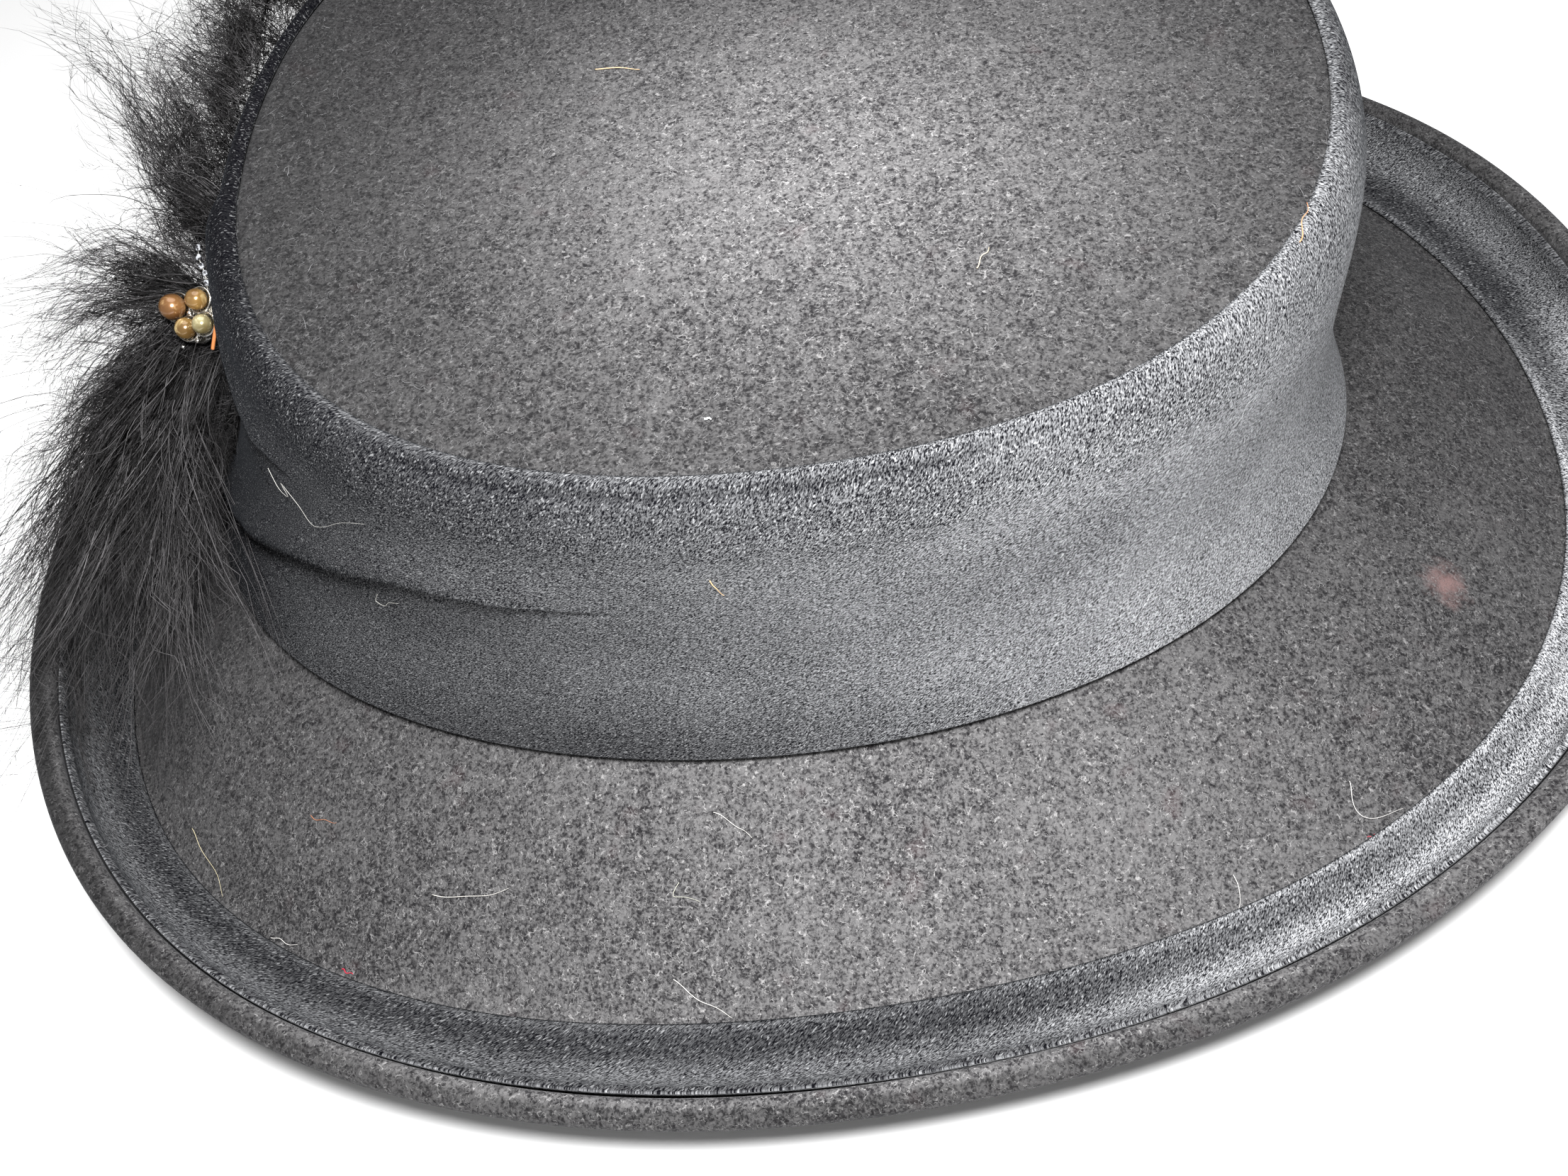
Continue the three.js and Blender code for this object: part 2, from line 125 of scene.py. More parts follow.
def profileOf():
    # Each zone is a blend from one named oval to the next plus a bump: a dome, a bulge, a waist,
    # an arch or the curl. The zones are joined, and a bell average softens the bends between them.
    share = np.linspace(0, 1, hat["zonePoints"])[:, None]
    tip, shoulder, base, foot, edge = (ovalRow(name) for name in ovals)
    centre = ovalRow("tip", halfX=0, halfY=0, tiltX=0, tiltY=0)
    hump = 4 * share * (1 - share)
    zones = [
        partway((centre, tip), share) + hat["dome"] * (1 - share ** 2) * shareRow(z=1),
        partway((tip, shoulder), share)
        + hump * shareRow(halfX=hat["rounding"], halfY=hat["rounding"], z=hat["shoulderLift"]),
        partway((shoulder, base), share)
        - hat["waist"] * np.sin(np.pi * share ** hat["waistBow"]) * shareRow(halfX=1, halfY=1),
        partway((base, foot), share) + hat["brimArch"] * np.sin(np.pi * share) * shareRow(z=1),
        partway((foot, edge), share) + hat["curlDepth"] * hump * shareRow(**curlShares),
    ]
    rows = np.concatenate([zones[0]] + [zone[1:] for zone in zones[1:]])
    ends = np.cumsum([len(zones[0])] + [len(zone) - 1 for zone in zones[1:]]) - 1
    across = (rows[:, ovalKeys.index("halfX")] + rows[:, ovalKeys.index("halfY")]) / 2
    height = rows[:, ovalKeys.index("z")]
    down = np.concatenate([[0], np.cumsum(np.hypot(np.diff(across), np.diff(height)))])
    even = np.arange(0, down[-1], hat["spacing"])
    table = np.stack([np.interp(even, down, column) for column in rows.T], axis=1)
    reach = int(3 * hat["softening"] / hat["spacing"])
    weights = bell(np.arange(-reach, reach + 1) * hat["spacing"], 0, hat["softening"])
    weights /= weights.sum()
    padded = np.concatenate([2 * table[0] - table[reach:0:-1], table,
                             2 * table[-1] - table[-2:-reach - 2:-1]])
    soft = np.stack([np.convolve(column, weights, mode="valid") for column in padded.T], axis=1)
    return even, soft, dict(zip(ovals, down[ends]))


profileDown, profileRows, downTo = profileOf()


def facePoint(down, angle, shift=(0, 0)):
    # x = cx + halfX reach cos a, y = cy + halfY reach sin a,
    # z = rest + cz + saddle cos 2a + tiltX cos a + tiltY sin a, reach = 1 + egg cos 3a + square cos 4a
    oval = {key: np.interp(down, profileDown, profileRows[:, i]) for i, key in enumerate(ovalKeys)}
    reach = 1 + oval["egg"] * np.cos(3 * angle) + oval["square"] * np.cos(4 * angle)
    return np.stack([
        shift[0] + oval["x"] + oval["halfX"] * reach * np.cos(angle),
        shift[1] + oval["y"] + oval["halfY"] * reach * np.sin(angle),
        hat["restHeight"] + oval["z"] + oval["saddle"] * np.cos(2 * angle)
        + oval["tiltX"] * np.cos(angle) + oval["tiltY"] * np.sin(angle),
    ], axis=-1)


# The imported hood's box says where the hat's own centre lies in the frame.
hoodLow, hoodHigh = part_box("felt_hood")
ownGrid = np.meshgrid(profileDown, np.radians(np.arange(0, 360, 6)), indexing="ij")
ownFace = facePoint(*ownGrid).reshape(-1, 3)
shift = ((np.array(hoodLow) + np.array(hoodHigh)) / 2 / mm - (ownFace.min(0) + ownFace.max(0)) / 2)[:2]
lift = np.array([*shift, hat["restHeight"]])     # from the hat's own place to the frame's
print("felt face ready, shifted by", shift.round(2))


def face(down, angle, rise=0.0):
    # the point at that distance and angle, moved by rise along the outward direction, which is
    # square to two short steps on the face
    down, angle, rise = np.broadcast_arrays(down, angle, np.asarray(rise, float))
    point = facePoint(down, angle, shift)
    safe = np.clip(down, 0.6, downTo["edge"] - 0.5)
    along = facePoint(safe + 0.4, angle) - facePoint(safe - 0.4, angle)
    around = facePoint(safe, angle + 0.01) - facePoint(safe, angle - 0.01)
    return point + unit(np.cross(along, around)) * rise[..., None]


def addMesh(name, points, quads, triangles=(), attributes=None, faceted=False):
    # points in millimetres become an object at the origin with its place in its mesh
    quads = np.asarray(quads, np.int32).reshape(-1, 4)
    triangles = np.asarray(triangles, np.int32).reshape(-1, 3)
    points = np.asarray(points, float).reshape(-1, 3)
    quads, triangles = outwards(points, quads, triangles)
    mesh = bpy.data.meshes.new(name)
    mesh.vertices.add(len(points))
    mesh.vertices.foreach_set("co", (points * mm).astype(np.float32).ravel())
    mesh.loops.add(quads.size + triangles.size)
    corners = np.concatenate([quads.ravel(), triangles.ravel()])
    mesh.loops.foreach_set("vertex_index", corners.astype(np.int32))
    mesh.polygons.add(len(quads) + len(triangles))
    starts = np.concatenate([np.arange(len(quads)) * 4, quads.size + np.arange(len(triangles)) * 3])
    mesh.polygons.foreach_set("loop_start", starts.astype(np.int32))
    mesh.update(calc_edges=True)
    mesh.polygons.foreach_set("use_smooth", np.full(len(mesh.polygons), not faceted))
    for key, values in (attributes or {}).items():
        kind = "FLOAT_VECTOR" if np.ndim(values) > 1 and np.shape(values)[-1] == 3 else "FLOAT"
        layer = mesh.attributes.new(key, kind, "POINT")
        field = "vector" if kind == "FLOAT_VECTOR" else "value"
        layer.data.foreach_set(field, np.asarray(values, np.float32).ravel())
    piece = bpy.data.objects.new(name, mesh)
    bpy.context.scene.collection.objects.link(piece)
    return piece


def outwards(points, quads, triangles):
    # a closed surface is turned round if its signed volume, the sum of a . (b x c), is negative
    corners = np.concatenate([quads[:, [0, 1, 2]], quads[:, [0, 2, 3]], triangles])
    middle = points.mean(0)
    a, b, c = (points[corners[:, i]] - middle for i in range(3))
    if np.einsum("ij,ij->", np.cross(a, b), c) < 0:
        return quads[:, ::-1], triangles[:, ::-1]
    return quads, triangles


def ringQuads(rows, steps, closed=False):
    # quads between neighbouring rows of a grid whose steps run round and meet
    row = np.arange(rows if closed else rows - 1)[:, None]
    step = np.arange(steps)[None, :]
    here, there, ahead = row * steps, (row + 1) % rows * steps, (step + 1) % steps
    return np.stack([here + step, there + step, there + ahead, here + ahead], axis=-1).reshape(-1, 4)


def capTriangles(pole, row, steps):
    # triangles from one row of a grid to a single point
    step = np.arange(steps)
    return np.stack([np.full(steps, pole), row * steps + step, row * steps + (step + 1) % steps], axis=-1)


def finishPiece(piece, material, slot, *nodes):
    piece.data.materials.append(material)
    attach(piece, "root")
    if nodes:
        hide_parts(*nodes)
    return piece


# A Wire is an output socket that Python's operators join to Math nodes.
class Wire:
    def __init__(self, paint, socket):
        self.paint, self.socket = paint, socket

    def maths(self, operation, *values):
        return self.paint.add("ShaderNodeMath", {"operation": operation}, dict(enumerate(values)))

    def __add__(self, other):
        return self.maths("ADD", self, other)

    def __radd__(self, other):
        return self.maths("ADD", other, self)

    def __sub__(self, other):
        return self.maths("SUBTRACT", self, other)

    def __rsub__(self, other):
        return self.maths("SUBTRACT", other, self)

    def __mul__(self, other):
        return self.maths("MULTIPLY", self, other)

    def __rmul__(self, other):
        return self.maths("MULTIPLY", other, self)

    def __abs__(self):
        return self.maths("ABSOLUTE", self)

    def between(self, low, high):
        # 0 at low and under, 1 at high and over, smooth in between
        return self.paint.add("ShaderNodeMapRange", {"interpolation_type": "SMOOTHSTEP"},
                              {0: self, 1: low, 2: high, 3: 0.0, 4: 1.0})


class Paint:
    # a material with one Principled shader, and the method that adds its other nodes
    def __init__(self, name):
        self.material = bpy.data.materials.new(name)
        self.material.use_nodes = True
        self.tree = self.material.node_tree
        self.shader = self.tree.nodes["Principled BSDF"]

    def add(self, kind, settings=None, sockets=None, output=0):
        node = self.tree.nodes.new(kind)
        for key, value in (settings or {}).items():
            setattr(node, key, value)
        for key, value in (sockets or {}).items():
            self.join(value, node.inputs[key])
        return Wire(self, node.outputs[output])

    def join(self, value, socket):
        if isinstance(value, Wire):
            self.tree.links.new(value.socket, socket)
        else:
            socket.default_value = value if np.isscalar(value) else tuple(value)

    def set(self, **values):
        # BaseColor=..., Roughness=... on the shader itself
        for key, value in values.items():
            name = "".join(" " + c if c.isupper() else c for c in key).strip()
            if not isinstance(value, Wire) and not np.isscalar(value) and len(value) == 3:
                value = (*value, 1)
            self.join(value, self.shader.inputs[name])

    def place(self):
        return self.add("ShaderNodeTexCoord", output=3)

    def attribute(self, name, output=1):
        # output 1 is a vector and output 2 a number
        return self.add("ShaderNodeAttribute", {"attribute_name": name}, output=output)

    def noise(self, place, scale, detail=2.0, rough=0.5, twist=0.0, seed=0.0):
        settings = {"noise_dimensions": "4D"}
        values = {"Vector": place, "W": seed, "Scale": scale, "Detail": detail, "Roughness": rough,
                  "Distortion": twist}
        return self.add("ShaderNodeTexNoise", settings, values)

    def mix(self, factor, first, second):
        ends = [(*c, 1) if not isinstance(c, Wire) and len(c) == 3 else c for c in (first, second)]
        return self.add("ShaderNodeMix", {"data_type": "RGBA"}, {0: factor, 6: ends[0], 7: ends[1]}, output=2)

    def bump(self, height, distance, strength=1.0):
        values = {"Strength": strength, "Distance": distance, "Height": height}
        return self.add("ShaderNodeBump", {}, values)


def fibreLines(paint, place, scale, thin, seed):
    # thin bent lines where a noise crosses its middle, broken into short lengths by another noise
    field = paint.noise(place, scale, 1.0, 0.4, 0.5, seed)
    breaks = paint.noise(place, scale * 0.9, 0.0, 0.5, 0.0, seed + 7)
    line = 1 - abs(field - 0.5).between(0, thin)
    return line * breaks.between(0.50, 0.60)


# Charcoal wool felt. A mesh attribute holds painted light and shade: 0 where the painted shade is deepest, 1
# where the painted light is brightest. Scales are of noise, and shares say how much each noise or colour counts.
feltTone = {
    "grain": 2300, "tuft": 1100, "cloud": 28, "mottle": 330, "longFibres": 900, "shortFibres": 1500,
    "rustPatch": 160, "ragged": 420,
    "grainShare": 0.6, "tuftShare": 0.4, "cloudShare": 0.16, "mottleShare": 0.15,
    "rustShare": 0.16, "fibreShare": 0.7, "stainShare": 0.85,
    "deep": (0.020, 0.019, 0.021), "pale": (0.190, 0.186, 0.188), "shade": (0.006, 0.006, 0.006),
    "fibre": (0.50, 0.49, 0.49), "rust": (0.12, 0.05, 0.055), "stain": (0.40, 0.25, 0.24),
    "stainSize": 0.0048, "stainAt": (170.5, 331.0),    # distance down the profile and degrees round
}


def feltPaint(name, tone):
    paint = Paint(name)
    place = paint.place()
    grain = paint.noise(place, tone["grain"], 2.0, 0.6, 0.7)
    tuft = paint.noise(place, tone["tuft"], 1.5, 0.5, 0.9, 3)
    cloud = paint.noise(place, tone["cloud"], 3.0, 0.6, 0.0, 5)
    mottle = paint.noise(place, tone["mottle"], 2.0, 0.6, 0.5, 6)
    lines = fibreLines(paint, place, tone["longFibres"], 0.03, 1.0)
    lines = lines + fibreLines(paint, place, tone["shortFibres"], 0.04, 2.0)
    mixed = grain * tone["grainShare"] + tuft * tone["tuftShare"]
    mixed = mixed + (cloud - 0.5) * tone["cloudShare"] + (mottle - 0.5) * tone["mottleShare"]
    colour = paint.mix(mixed.between(0.36, 0.64), tone["deep"], tone["pale"])
    rusty = paint.noise(place, tone["rustPatch"], 1.0, 0.5, 0.0, 14).between(0.64, 0.80)
    colour = paint.mix(rusty * tone["rustShare"], colour, tone["rust"])
    colour = paint.mix(lines * tone["fibreShare"], colour, tone["fibre"])
    spot = face(tone["stainAt"][0], np.radians(tone["stainAt"][1])) * mm
    offset = paint.add("ShaderNodeVectorMath", {"operation": "DISTANCE"}, {0: place, 1: spot}, output=1)
    ragged = offset + (paint.noise(place, tone["ragged"], 3.0, 0.6) - 0.5) * tone["stainSize"] * 1.6
    stain = (1 - ragged.between(0.0, tone["stainSize"])) * tone["stainShare"]
    colour = paint.mix(stain, colour, tone["stain"])
    # painted light and shade: the attribute darkens the felt towards the shade colour
    colour = paint.mix(paint.attribute("wear", 2), tone["shade"], colour)
    height = grain * 0.5 + tuft * 0.8 + lines * 0.5
    paint.set(BaseColor=colour, Roughness=0.92, Normal=paint.bump(height, 0.00025, 0.8))
    paint.set(SheenWeight=0.05, SheenRoughness=0.5, SheenTint=(0.95, 0.95, 1.0))
    paint.shader.inputs["Specular IOR Level"].default_value = 0.03
    return paint.material


# Velvet's pile shows as short pale dashes. pile is an attribute in which noise runs long the way
# the pile lies, and a second attribute holds painted light and shade: 0 in the deepest painted shade, 1 in the
# brightest painted light.
velvetTone = {
    "dash": 3900, "fine": 6400, "glint": 3600, "cloud": 40,
    "dashShare": 0.55, "fineShare": 0.45, "cloudShare": 0.07, "glintShare": 0.5, "glintInShade": 0.1,
    "deep": (0.006, 0.006, 0.008), "pale": (0.50, 0.507, 0.525), "shade": (0.002, 0.002, 0.003),
    "spark": (0.90, 0.91, 0.93), "sheen": 0.01,
}


def velvetPaint(name, tone):
    paint = Paint(name)
    pile = paint.attribute("pile")
    dash = paint.noise(pile, tone["dash"], 1.0, 0.5)
    fine = paint.noise(pile, tone["fine"], 0.5, 0.5, 0.0, 4)
    cloud = paint.noise(paint.place(), tone["cloud"], 2.0, 0.5, 0.6, 9)
    mixed = dash * tone["dashShare"] + fine * tone["fineShare"] + (cloud - 0.5) * tone["cloudShare"]
    colour = paint.mix(mixed.between(0.38, 0.66), tone["deep"], tone["pale"])
    glints = paint.noise(pile, tone["glint"], 0.0, 0.5, 0.0, 12).between(0.66, 0.74)
    colour = paint.mix(glints * tone["glintShare"], colour, tone["spark"])
    # painted light and shade: the second attribute darkens the velvet towards the shade colour
    colour = paint.mix(paint.attribute("nap", 2), tone["shade"], colour)
    colour = paint.mix(glints * tone["glintInShade"], colour, tone["spark"])
    height = dash * 0.7 + fine * 0.3
    paint.set(BaseColor=colour, Roughness=0.75, Normal=paint.bump(height, 0.0002, 0.7))
    paint.set(SheenWeight=tone["sheen"], SheenRoughness=0.35, SheenTint=(0.80, 0.88, 1.0))
    paint.shader.inputs["Specular IOR Level"].default_value = 0.0
    return paint.material


felt = feltPaint("charcoal felt", feltTone)
velvet = velvetPaint("blue black velvet", velvetTone)

hood = {
    "steps": 300, "outerSpacing": 1.3, "underSpacing": 3.0, "edgeRows": 5,
    "unevenness": 0.12,      # slow waves, each with its turns round the oval and its length down the profile
    "waves": [dict(turns=3, length=19, phase=0), dict(turns=7, length=-13, phase=1.3),
              dict(turns=11, length=8, phase=4.1)],
    # painted light: a pool of it on the crown's flat top, and painted shade on the crown towards the plume
    "crownLight": 0.20, "crownHighlight": 0.58, "highlightAt": (14.0, -21.0), "highlightWidth": 44.0,
    "plumeShade": 0.3, "shadeFrom": 10, "shadeTo": 75,      # the crown darkens towards the plume
    # painted light on the brim, brightest at its front
    "brimLight": 0.25, "brimHighlight": 0.41, "brimHighlightAt": 276.0, "brimHighlightWidth": 52.0, "brimBlend": 20,
    # painted light and shade round the under face: lighter at the front and right, darkest at the back
    "underLight": 0.31, "underLeast": 0.35, "underBack": (340, 430),
    "underSteps": [dict(by=0.65, low=205, high=262), dict(by=0.5, low=288, high=318)],
}


def unevenness(down, angle):
    # none at the crown's middle
    waves = sum(np.sin(wave["turns"] * angle + down / wave["length"] + wave["phase"]) for wave in hood["waves"])
    return hood["unevenness"] * smooth(down, 0, 25) * waves / 2


def bearingOf(degrees):
    # the same angle between 100 and 460 degrees, so that tones change round the hat from its dark back
    return (degrees - 100) % 360 + 100


def paintedLightOf(points, down):
    # painted light: the crown is brightest round one place of its flat top, and the brim at its front; painted
    # shade darkens the crown towards the plume
    apart = np.hypot(points[..., 0] - shift[0] - hood["highlightAt"][0],
                     points[..., 1] - shift[1] - hood["highlightAt"][1])
    crown = hood["crownLight"] + hood["crownHighlight"] * bell(apart, 0, hood["highlightWidth"])
    crown = crown * (1 - hood["plumeShade"] * smooth(-points[..., 0], hood["shadeFrom"], hood["shadeTo"]))
    onBrim = smooth(down, downTo["base"] - hood["brimBlend"], downTo["base"])
    degrees = np.degrees(np.arctan2(points[..., 1] - shift[1], points[..., 0] - shift[0])) % 360
    turned = (degrees - hood["brimHighlightAt"] + 180) % 360 - 180
    brim = hood["brimLight"] + hood["brimHighlight"] * bell(turned, 0, hood["brimHighlightWidth"])
    return crown * (1 - onBrim) + brim * onBrim


def makeHood():
    # outer face, half circle round the cut edge, under face a wall's thickness inside, both poles closed
    angle = np.linspace(0, 2 * np.pi, hood["steps"], endpoint=False)[None, :]
    edge = downTo["edge"]
    outer = np.linspace(0, edge, int(edge / hood["outerSpacing"]))[1:, None]
    under = np.linspace(edge, 0, int(edge / hood["underSpacing"]))[:-1, None]
    wall = np.interp(under, profileDown, profileRows[:, ovalKeys.index("wall")])
    outerGrid = face(outer, angle, unevenness(outer, angle))
    underGrid = face(under, angle, unevenness(under, angle) - wall)
    underGrid[..., 2] = np.maximum(underGrid[..., 2], 0)
    along = unit(outerGrid[-1] - outerGrid[-2])
    centre, half = (outerGrid[-1] + underGrid[0]) / 2, (outerGrid[-1] - underGrid[0]) / 2
    turn = np.linspace(0, np.pi, hood["edgeRows"] + 2)[1:-1, None, None]
    edgeGrid = centre + half * np.cos(turn) + along * hat["edgeRound"] * np.sin(turn)
    grid = np.concatenate([outerGrid, edgeGrid, underGrid])
    rows, steps = grid.shape[:2]
    poles = np.stack([face(0.0, 0.0), face(0.0, 0.0, -ovals["tip"]["wall"])])
    poles[:, :2] = face(0.01, angle[0])[:, :2].mean(0)
    caps = np.concatenate([capTriangles(rows * steps, 0, steps),
                           capTriangles(rows * steps + 1, rows - 1, steps)[:, ::-1]])
    points = np.concatenate([grid.reshape(-1, 3), poles])
    downs = np.concatenate([outer, np.full((hood["edgeRows"], 1), edge), under])
    downs = np.append(np.broadcast_to(downs, (rows, steps)), (0, 0))
    wear = paintedLightOf(points, downs)
    hidden = (len(outer) + hood["edgeRows"] // 2) * steps
    bearing = bearingOf(np.degrees(np.broadcast_to(angle, (rows, steps)).ravel()))
    # painted light and shade on the under face round the oval
    front = stepped(bearing, 0, hood["underSteps"]) * (1 - smooth(bearing, *hood["underBack"]))
    turned = hood["underLeast"] + front
    wear[hidden:rows * steps] = hood["underLight"] * turned[hidden:]
    piece = addMesh("feltHood", points, ringQuads(rows, steps), caps, {"wear": wear})
    return finishPiece(piece, felt, "felt", "felt_hood")


makeHood()
print("felt hood made")


def clothSheet(name, cloth, down, angle, rise, nap, slide=0.0):
    # two faces a thickness apart, joined at both edges, as a closed strip round the hat.
    # The pile attribute is (radius cos t, radius sin t, squeeze down) with t = angle + turn down / radius,
    # so noise in it runs long down the cloth and turns slowly round it.
    outer = face(down + slide, angle, rise)
    inner = face(down[::-4], angle, hat["seatGap"])
    grid = np.concatenate([outer, inner])
    shape = outer.shape[:2]
    downs = np.concatenate([np.broadcast_to(down, shape), np.broadcast_to(down[::-4], inner.shape[:2])])
    radius = cloth["pileRadius"]
    turned = angle + cloth["pileTurn"] * downs / radius
    pile = np.stack([radius * np.cos(turned), radius * np.sin(turned), downs * cloth["pileSqueeze"]], axis=-1)
    shadingGrid = np.concatenate([np.broadcast_to(nap, shape), np.full(inner.shape[:2], 0.5)])
    rows, steps = grid.shape[:2]
    attributes = {"pile": (pile * mm).reshape(-1, 3), "nap": shadingGrid.ravel()}
    piece = addMesh(name, grid, ringQuads(rows, steps, closed=True), attributes=attributes)
    aroundIt = np.roll(outer, -1, 1)[:-1] - outer[:-1]
    outerArea = np.linalg.norm(np.cross(outer[1:] - outer[:-1], aroundIt), axis=-1).sum() * mm * mm
    print(name, "face area in square metres", round(outerArea, 5))
    return piece


def hemmed(below, length, start, hemRound):
    # 0 at both edges of a cloth, 1 from hemRound inside them
    return smooth(below, start, hemRound) * smooth(length - below, start, hemRound)


band = {
    "steps": 420, "rows": 170, "thickness": 1.5, "hemRound": 1.3, "hemStart": -0.4, "hemRise": 0.25,
    "leastRise": 0.3, "pileRadius": 90.0, "pileTurn": 0.7, "pileSqueeze": 0.8,
    # a crease below the upper hem, its groove darkened by painted shadow
    "creaseAt": 2.4, "creaseDepth": 0.5, "creaseWidth": 0.45, "creaseShadow": 0.5,
    "creaseFrom": 236, "creaseTo": 292, "creaseBlend": 8,
    # each fold's line is a row of (degrees round, share of the band's height), rise is how far the cloth
    # stands up over the line, wide how far that swell reaches above it, and drop how deep it sinks below
    "folds": [
        dict(line=[(184, .93), (190, .87), (196, .81), (202, .76), (210, .69), (217, .61), (224, .53),
                   (229, .48), (234.5, .417), (239, .385), (245, .37), (252, .372), (258, .38)],
             rise=(2.1, 0.9), wide=8.0, drop=(2.6, 0.9), narrow=(1.5, 0.5), begin=6, fade=14),
        dict(line=[(190, .06), (196, .10), (202, .145), (207, .19), (211, .245), (214, .274), (219, .262),
                   (224, .256)],
             rise=(1.7, 0.5), wide=5.0, drop=(2.4, 0.5), narrow=(1.5, 0.5), begin=5, fade=9),
        dict(line=[(207, .27), (210.5, .33), (213.8, .40), (216.5, .49)],
             rise=(0.5, 0.3), wide=2.0, drop=(1.0, 0.4), narrow=(0.6, 0.4), begin=2, fade=3),
        dict(line=[(204, .24), (207, .31), (209.5, .385), (211.5, .44)],
             rise=(0.4, 0.2), wide=1.6, drop=(0.9, 0.4), narrow=(0.5, 0.4), begin=2, fade=3),
        dict(line=[(205, .745), (209, .735), (213, .74), (217, .755)],
             rise=(0.4, 0.2), wide=2.0, drop=(1.0, 0.4), narrow=(0.5, 0.4), begin=2, fade=3),
        dict(line=[(200, .79), (204.5, .81), (209.5, .83), (212, .84)],
             rise=(0.4, 0.2), wide=2.0, drop=(0.9, 0.4), narrow=(0.5, 0.4), begin=2, fade=3),
    ],
    "crestDrop": 0.35,                                    # over this the swell ends under the line
    "slide": 0.8, "slideAt": -0.25, "slideWidth": 0.8,    # how the crest hangs over the line
    # painted shadow: the cloth under each fold's line is darkened
    "darkAt": 0.8, "darkWidth": 1.1, "foldShadow": 0.90,    # the shadow under the line
    # painted light and shade round the oval, darkest beside the plume and lighter to the right, and painted
    # shade along the hem
    "shadingLeast": 0.05, "shadingSteps": [dict(by=0.09, low=196, high=226), dict(by=0.88, low=205, high=330)],
    "hemShade": 0.44, "hemSteps": [dict(by=0.56, low=0.06, high=0.22)],
    # each painted shade or light multiplies the painted shading by 1 + by (its part of the height) (its part of
    # the oval)
    "shades": [
        dict(by=0.5, height=(smooth, 0.55, 0.8), around=(bell, 225, 16)),
        dict(by=0.3, height=(smooth, 0.3, 0.6), around=(smooth, 285, 320)),
        dict(by=-0.22, height=(bell, 0.15, 0.12), around=(bell, 235, 45)),
        dict(by=-0.62, height=(smooth, 0.6, 1.0), around=(bell, 258, 36)),
        dict(by=-0.45, height=(bell, 0, 0.2), around=(smooth, 330, 350)),
    ],
    # painted highlight along the band's upper hem on its front and right
    "rimHighlight": 0.22, "rimAt": 0.2, "rimWidth": 0.5, "rimFrom": 200, "rimTo": 240,
    # painted shade over the band's back
    "backShade": 0.07, "backFrom": (366, 440), "backTo": (100, 140),
}


def foldShape(below, degrees, height):
    # above a fold's line the cloth swells as rise exp(-(d/wide)^2), below it sinks as drop d/narrow
    # exp(1 - d/narrow), and its crest slides down over the line. A pair of numbers is at its two ends.
    shape = np.broadcast(below, degrees).shape
    rise, slide, dark = np.zeros(shape), np.zeros(shape), np.zeros(shape)
    for fold in band["folds"]:
        at, share = curveThrough(fold["line"], 200).T
        along = np.clip((degrees - at[0]) / (at[-1] - at[0]), 0, 1)
        swell, drop, narrow = (partway(fold[key], along) for key in ("rise", "drop", "narrow"))
        past = below - height * np.interp(degrees, at, share)
        ending = smooth(degrees, at[-1] - fold["fade"], at[-1])
        strength = smooth(degrees, at[0], at[0] + fold["begin"]) * (1 - ending)
        under = np.maximum(past, 0) / narrow
        crest = np.where(past < 0, bell(past, 0, fold["wide"]), bell(past, 0, band["crestDrop"]))
        rise += strength * swell * crest
        rise -= strength * drop * under * np.exp(1 - under)
        slide += strength * band["slide"] * swell * bell(past, band["slideAt"], band["slideWidth"])
        # painted shadow under the fold's line
        dark += strength * bell(past, band["darkAt"] * narrow, band["darkWidth"] * narrow)
    return rise, slide, dark


def bandShading(below, degrees, height, dark):
    # painted light and shade: darkest beside the plume, brightest on the right, with painted shade under the hem
    # and at the back
    share, bearing = below / height, bearingOf(degrees)
    nap = stepped(bearing, band["shadingLeast"], band["shadingSteps"])
    nap = nap * stepped(share, band["hemShade"], band["hemSteps"])
    for shade in band["shades"]:
        (part, *where), (turn, *bearings) = shade["height"], shade["around"]
        nap = nap * (1 + shade["by"] * part(share, *where) * turn(bearing, *bearings))
    # painted highlight along the upper hem
    rim = bell(below, band["rimAt"], band["rimWidth"]) * smooth(bearing, band["rimFrom"], band["rimTo"])
    nap = nap + band["rimHighlight"] * rim
    back = smooth(bearing, *band["backFrom"]) + 1 - smooth(bearing, *band["backTo"])
    nap = nap * (1 - back) + band["backShade"] * back
    return np.clip(nap * (1 - band["foldShadow"] * np.clip(dark, 0, 1)), 0, 1)


def makeBand():
    angle = np.linspace(0, 2 * np.pi, band["steps"], endpoint=False)[None, :]
    degrees = np.degrees(angle)
    height = downTo["base"] - downTo["tip"]
    below = np.linspace(0, height, band["rows"])[:, None]
    folds, slide, dark = foldShape(below, degrees, height)
    edges = hemmed(below, height, band["hemStart"], band["hemRound"])
    first, last, blend = band["creaseFrom"], band["creaseTo"], band["creaseBlend"]
    inCrease = smooth(degrees, first - blend, first + blend) * (1 - smooth(degrees, last - blend, last + blend))
    crease = band["creaseDepth"] * bell(below, band["creaseAt"], band["creaseWidth"]) * inCrease
    rise = hat["seatGap"] + band["hemRise"] + (band["thickness"] - band["hemRise"]) * edges + folds - crease
    rise = np.maximum(rise, hat["seatGap"] + band["leastRise"])
    # painted shadow in the crease, added to the painted shadow under the folds
    dark = dark + band["creaseShadow"] * bell(below, band["creaseAt"], 0.5) * inCrease
    nap = bandShading(below, degrees, height, dark)
    piece = clothSheet("hatBand", band, downTo["tip"] + below, angle, rise, nap, slide)
    return finishPiece(piece, velvet, "velvet_band", "hat_band")


hatBand = makeBand()
print("band made")

